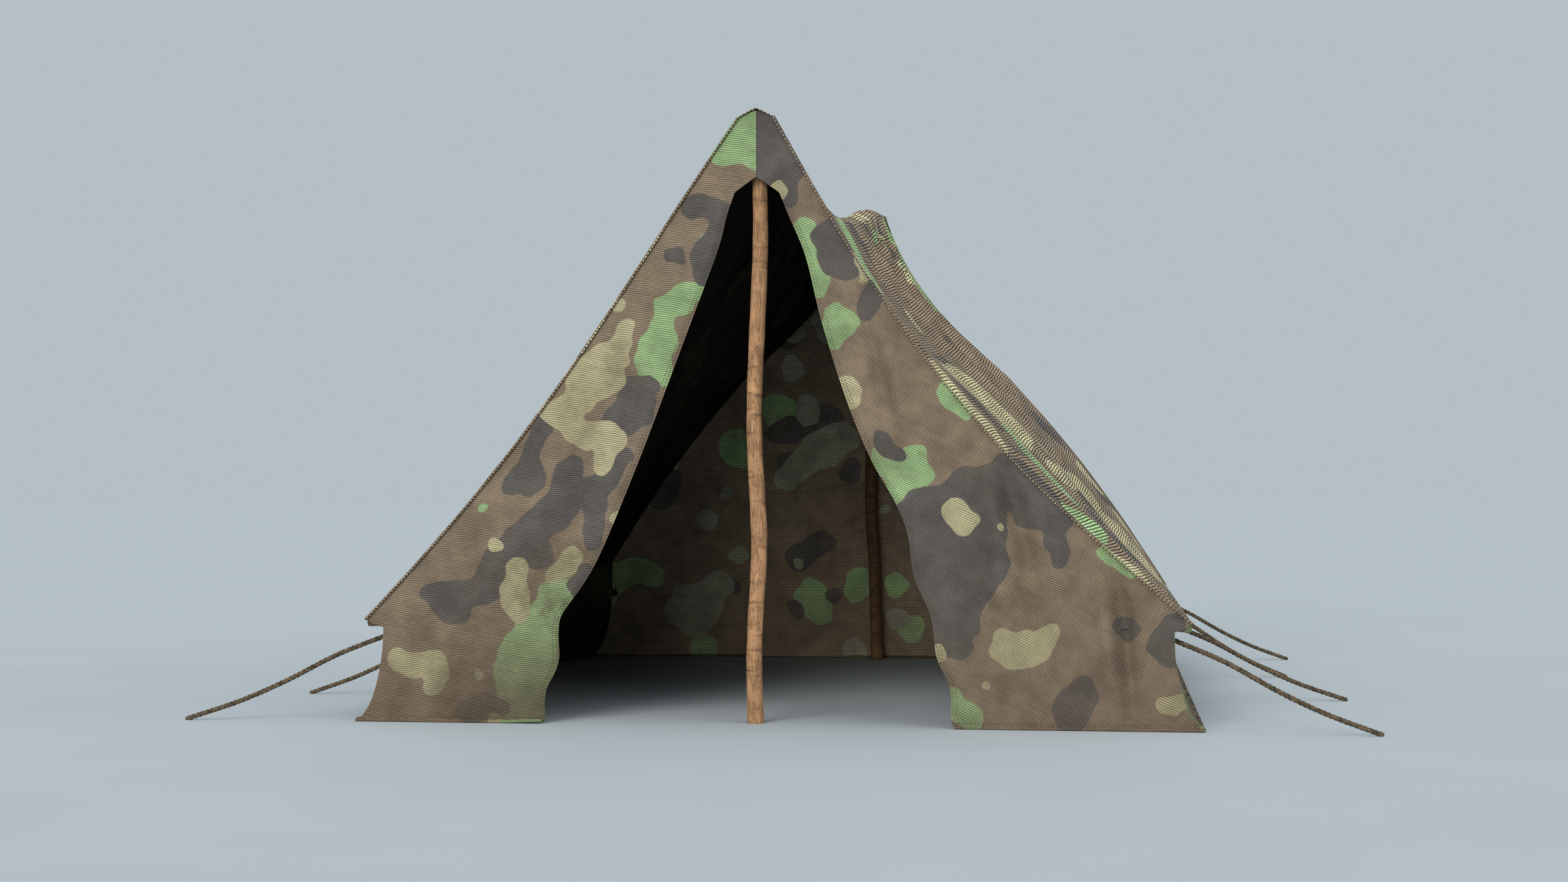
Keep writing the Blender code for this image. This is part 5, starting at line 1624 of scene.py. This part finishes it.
class TENT_OT_poles(bpy.types.Operator):
    """The two peeled branches that hold up the ridge."""

    bl_idname = "tent.poles"
    bl_label = "Poles"

    def execute(self, context):
        timber = context.scene.tent_dyes.timber
        dark = [c * 0.22 for c in timber]
        finishes = {
            False: bark_material("peeled_branch", timber, dark, 1.0),
            # Painted shade: the rear pole, inside the tent, gets a darker copy of the bark at 0.6 of the timber's
            # colour.
            True: bark_material("rear_branch_painted_shade", [c * 0.6 for c in timber], dark, 5.0),
        }
        for rear in (False, True):
            name = "rear_pole" if rear else "front_pole"
            y = REAR_Y - POLE_INSET_TIP if rear else FRONT_Y + POLE_INSET_TIP
            foot_y = REAR_Y - POLE_INSET_FOOT if rear else FRONT_Y + POLE_INSET_FOOT
            tip_x = ridge_x(station(y))
            top = ridge_z(station(y)) - CUP_UNDER_RIDGE - CUP_TOP_GAP
            straight = top - 1.5 * CUP_LENGTH
            bow = REAR_POLE_BOW if rear else FRONT_POLE_BOW
            route = [(tip_x + x, mix(foot_y, y, share), share * straight) for share, x in bow]
            route += [(tip_x, y, straight), (tip_x, y, mix(straight, top, 0.5)), (tip_x, y, top)]
            line = smooth_line(route, 0.006)
            line[0].z = 0.0
            wild = random.Random(7 + rear)
            creases = [wild.uniform(0.08, 1.8) for _ in range(POLE_CREASES)]
            points, crease = [], []
            for i, centre in enumerate(line):
                radius = mix(POLE_RADIUS, POLE_TIP_RADIUS, min(1.0, centre.z / straight)) - 0.0006
                inside_cup = 1.0 if centre.z < straight + 0.01 else 0.0
                if i >= len(line) - len(TIP_TAPER):
                    radius *= TIP_TAPER[i - len(line)]
                for k in range(POLE_SIDES):
                    angle = 2 * math.pi * k / POLE_SIDES
                    lump = 0.0011 * math.sin(3 * angle + 5.3 * centre.z)
                    lump += 0.0009 * math.sin(2 * angle - 9.1 * centre.z + 1)
                    lump += 0.0007 * math.sin(centre.z * 41 + 2 * math.sin(angle))
                    lump += 0.0004 * math.sin(7 * angle + centre.z * 13)
                    groove = 0.0
                    for at in creases:
                        off = centre.z - at - 0.006 * math.sin(angle + at * 40)
                        open_part = 0.45 + 0.55 * math.sin(angle + at * 90)
                        groove = max(groove, math.exp(-((off / 0.0035) ** 2)) * open_part)
                    lump -= 0.0013 * max(0.0, groove)
                    for at, where, height in POLE_KNOTS:
                        turn = math.atan2(math.sin(angle - where), math.cos(angle - where))
                        away = math.hypot((centre.z - at) / 0.018, turn * radius / 0.011)
                        lump += height * math.exp(-away * away) * 0.55 - height * 0.75 * math.exp(-((away / 0.35) ** 2))
                        rim, heart = math.exp(-((away - 0.55) ** 2) / 0.02), math.exp(-((away / 0.3) ** 2))
                        groove = max(groove, rim * 0.9, heart)
                    r = radius + lump * inside_cup * (0.7 if i else 0.4)
                    points.append((centre.x + r * math.cos(angle), centre.y + r * math.sin(angle), max(0.0, centre.z)))
                    crease.append(clamp(groove))
            faces = tube_faces(len(line), POLE_SIDES)
            made = finish_mesh(f"{name}_branch", points, faces, [finishes[rear]], angle=60)
            lay_field(made.data, "crease", crease)
            uv_layer = made.data.uv_layers.new(name="cloth")
            uv = []
            for polygon in made.data.polygons:
                for index in polygon.vertices:
                    i, k = divmod(index, POLE_SIDES)
                    last = any(v % POLE_SIDES == POLE_SIDES - 1 for v in polygon.vertices)
                    if len(polygon.vertices) == 4 and k == 0 and last:
                        k = POLE_SIDES
                    uv.append((k / POLE_SIDES * 2 * math.pi * POLE_RADIUS, line[i].z))
            uv_layer.data.foreach_set("uv", np.array(uv).ravel())
            belongs(made, "pole_wood", name)
        return {"FINISHED"}


class TENT_OT_fittings(bpy.types.Operator):
    """Finishes of the leather cups and the brass eyelets."""

    bl_idname = "tent.fittings"
    bl_label = "Cups and eyelets"

    def execute(self, context):
        leather, brass = leather_material(), brass_material()
        for name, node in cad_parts.items():
            if name.endswith("_pole_cup"):
                node.material_slots[0].material = leather
            elif name.startswith("wall_eyelet"):
                node.material_slots[0].material = brass
        return {"FINISHED"}


OPERATORS = (
    TENT_OT_stage, TENT_OT_guy_ropes, TENT_OT_canopy, TENT_OT_fronts, TENT_OT_walls, TENT_OT_rear, TENT_OT_hems,
    TENT_OT_welts, TENT_OT_stitches, TENT_OT_poles, TENT_OT_fittings,
)


class TENT_PT_panel(bpy.types.Panel):
    bl_idname = "TENT_PT_panel"
    bl_label = "Ridge Tent"
    bl_space_type = "VIEW_3D"
    bl_region_type = "UI"
    bl_category = "Tent"

    def draw(self, context):
        for settings in (context.scene.tent_cloth, context.scene.tent_dyes, context.scene.tent_studio):
            box = self.layout.box()
            for key in type(settings).__annotations__:
                box.prop(settings, key)
        for operator in OPERATORS:
            self.layout.operator(operator.bl_idname)


CLASSES = (TentCloth, TentDyes, TentStudio, *OPERATORS, TENT_PT_panel)


def register():
    for kind in CLASSES:
        bpy.utils.register_class(kind)
    bpy.types.Scene.tent_cloth = bpy.props.PointerProperty(type=TentCloth)
    bpy.types.Scene.tent_dyes = bpy.props.PointerProperty(type=TentDyes)
    bpy.types.Scene.tent_studio = bpy.props.PointerProperty(type=TentStudio)


def unregister():
    del bpy.types.Scene.tent_cloth, bpy.types.Scene.tent_dyes, bpy.types.Scene.tent_studio
    for kind in reversed(CLASSES):
        bpy.utils.unregister_class(kind)


def main():
    register()
    bpy.ops.tent.stage()
    bpy.ops.tent.guy_ropes()
    bpy.ops.tent.canopy()
    bpy.ops.tent.fronts()
    bpy.ops.tent.walls()
    bpy.ops.tent.rear()
    bpy.ops.tent.hems()
    bpy.ops.tent.welts()
    bpy.ops.tent.stitches()
    bpy.ops.tent.poles()
    bpy.ops.tent.fittings()


if __name__ == "__main__":
    main()
